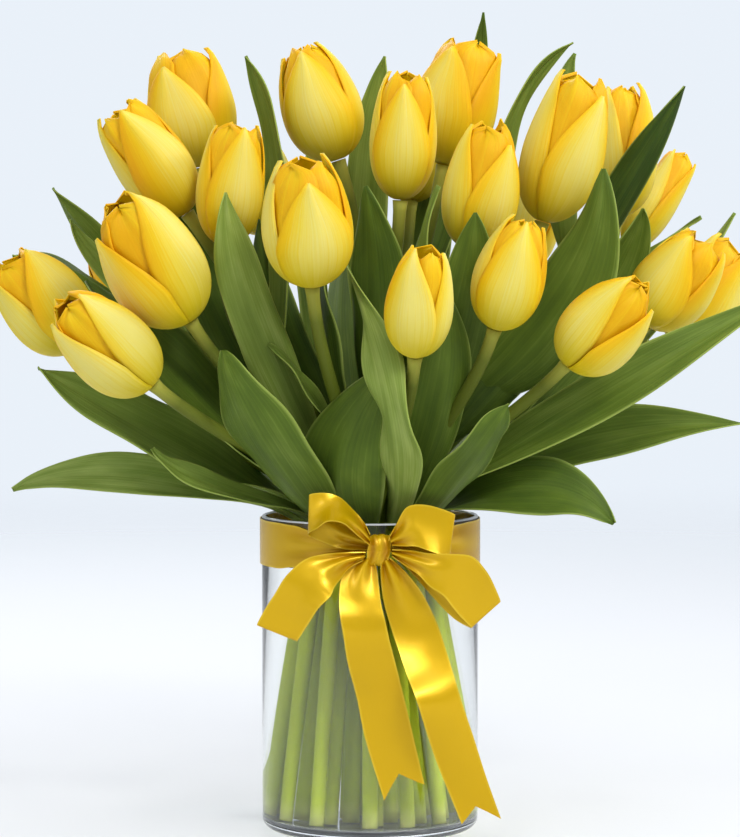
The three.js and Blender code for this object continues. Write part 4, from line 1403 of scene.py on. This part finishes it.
# The band's half width and the height of its middle, in millimetres, at degrees away from the knot.
BAND_SHAPE = [
    (0, 2.4, 137.5),
    (8, 2.4, 137.5),
    (15, 3.4, 137),
    (34, 7.2, 136.9),
    (47, 9.7, 136.4),
    (60, 10.6, 136),
]
# The gathers are full up to the first number of degrees away from the knot and gone at the second. Their
# pleats slant: their wave moves on by a few hundredths of a radian for each degree round the vase.
BAND_GATHER = (12, 60)
BAND_PLEATS = 2.5
BAND_PLEAT_DEPTH = 1.4 * MM
BAND_PLEAT_SLANT = 0.03


def band_section(away):
    """The band's half width and middle height at an angle away from the knot."""
    for near, far in zip(BAND_SHAPE, BAND_SHAPE[1:]):
        if away <= far[0]:
            share = smoothstep(away, near[0], far[0])
            return [start + (end - start) * share for start, end in zip(near[1:], far[1:])]
    return BAND_SHAPE[-1][1:]


def band_surface(u, v):
    """The rule for the band, which starts and ends behind the knot."""
    around = v * 360
    away = min(around, 360 - around)
    half, middle = band_section(away)
    gathered = 1 - smoothstep(away, *BAND_GATHER)
    pleat = 0.5 + 0.5 * math.cos(2 * math.pi * BAND_PLEATS * u + BAND_PLEAT_SLANT * around)
    radius = BAND_RADIUS + BAND_PLEAT_DEPTH * gathered * pleat
    height = (middle + (2 * u - 1) * half) * MM
    angle = math.radians(-90 + KNOT_ANGLE + around)
    return Vector((radius * math.cos(angle), radius * math.sin(angle), height))


band = make_strip("ribbon_band", band_surface, ACROSS_STRIP, ALONG_BAND)
ribbon_pieces.append(band)

# %% Knot
# The knot's centre and size, in millimetres.
KNOT_CENTRE = (KNOT_OFFSET, -56.2, 136.5)
KNOT_WIDTH = 10.4
KNOT_DEPTH = 7.0
KNOT_HEIGHT = 15.0
# Its edges lie this far inside that size, and it bulges from them by its crown and its folds.
KNOT_EDGE_INSET = 1
KNOT_CROWN = 1.1
FOLD_HEIGHT = 0.45
FOLDS = 2.4
FOLD_SLANT = 0.8
# The share of its width at its top and bottom, and how far they are pushed to the right and the left.
KNOT_WAIST = 0.88
KNOT_LEAN = 0.8
# The faces across and along its strip.
KNOT_FACES = (24, 72)


def knot_surface(u, v):
    """The rule for the knot: a strip wrapped once round the middle of the bow, with slanting folds."""
    angle = 2 * math.pi * v
    fold = FOLD_HEIGHT * math.cos(2 * math.pi * (FOLDS * u + FOLD_SLANT * math.sin(angle / 2)))
    bulge = KNOT_CROWN * (1 - (2 * u - 1) ** 2) + fold
    depth = (KNOT_DEPTH / 2 - KNOT_EDGE_INSET + bulge) * math.cos(angle)
    height = (KNOT_HEIGHT / 2 - KNOT_EDGE_INSET + bulge / 2) * math.sin(angle)
    width = KNOT_WIDTH * (KNOT_WAIST + (1 - KNOT_WAIST) * math.cos(angle) ** 2)
    x, y, z = KNOT_CENTRE
    return metres((x + (u - 0.5) * width + KNOT_LEAN * math.sin(angle), y - depth, z + height))


knot = make_strip("bow_knot", knot_surface, *KNOT_FACES)
ribbon_pieces.append(knot)
print("ribbon pieces", len(ribbon_pieces))

# %% [markdown]
# ## Satin finish
#
# Satin shines along its folds and stays deep golden in its shade. A base with some metal in it gives the
# warm highlight, a moderate roughness spreads it, and a thin clear coat makes its brightest part cream.
# Fine threads run along the strip, a paler and slightly firmer selvage runs along both edges, and shade
# is painted into the valleys between the pleats near the gathered ends.

# %% Satin material
GOLD = (0.62, 0.38, 0.002)
THREAD_GOLD = (0.46, 0.26, 0.001)
SELVAGE = (0.8, 0.6, 0.05)
# The colour of the shade painted into the pleats' valleys.
PAINTED_PLEAT_SHADE = (0.36, 0.15, 0.001)
SHINE = (1.0, 0.82, 0.25, 1)

satin_material, satin = new_material("satin")
across, along = satin.uv()
threads = lines(satin, 160.0, 14.0, 1.2)
selvage = satin.step(satin.off_middle(across), 0.9, 0.96)
woven = satin.mix(satin.math("MULTIPLY", threads, 0.25), GOLD, THREAD_GOLD)
with_selvage = satin.mix(satin.math("MULTIPLY", selvage, 0.35), woven, SELVAGE)
# Painted shade: near each gathered end the colour darkens towards the pleats' valleys.
near_start = satin.math("SUBTRACT", 1.0, satin.step(along, 0.02, 0.3))
near_end = satin.math("MULTIPLY", satin.step(along, 0.8, 0.98), satin.number("far_end"))
gathered = satin.math("MAXIMUM", near_start, near_end)
turn = satin.math("MULTIPLY_ADD", across, 2 * math.pi * PLEATS, PLEAT_START)
painted_pleat_shade_share = satin.math("MULTIPLY_ADD", satin.math("COSINE", turn), -0.4, 0.45)
satin.feed(
    satin.shader,
    {
        "Base Color": satin.mix(satin.math("MULTIPLY", gathered, painted_pleat_shade_share), with_selvage, PAINTED_PLEAT_SHADE),
        "Metallic": 0.28,
        "Roughness": 0.25,
        "Specular IOR Level": 0.5,
        "Specular Tint": SHINE,
        "Coat Weight": 0.2,
        "Coat Roughness": 0.2,
    },
)
satin.bump(satin.math("ADD", threads, satin.math("MULTIPLY", selvage, 0.5)), 0.15, 0.0002)
for piece in ribbon_pieces:
    piece.data.materials.append(satin_material)
print("satin finish:", len(satin.tree.nodes), "nodes")
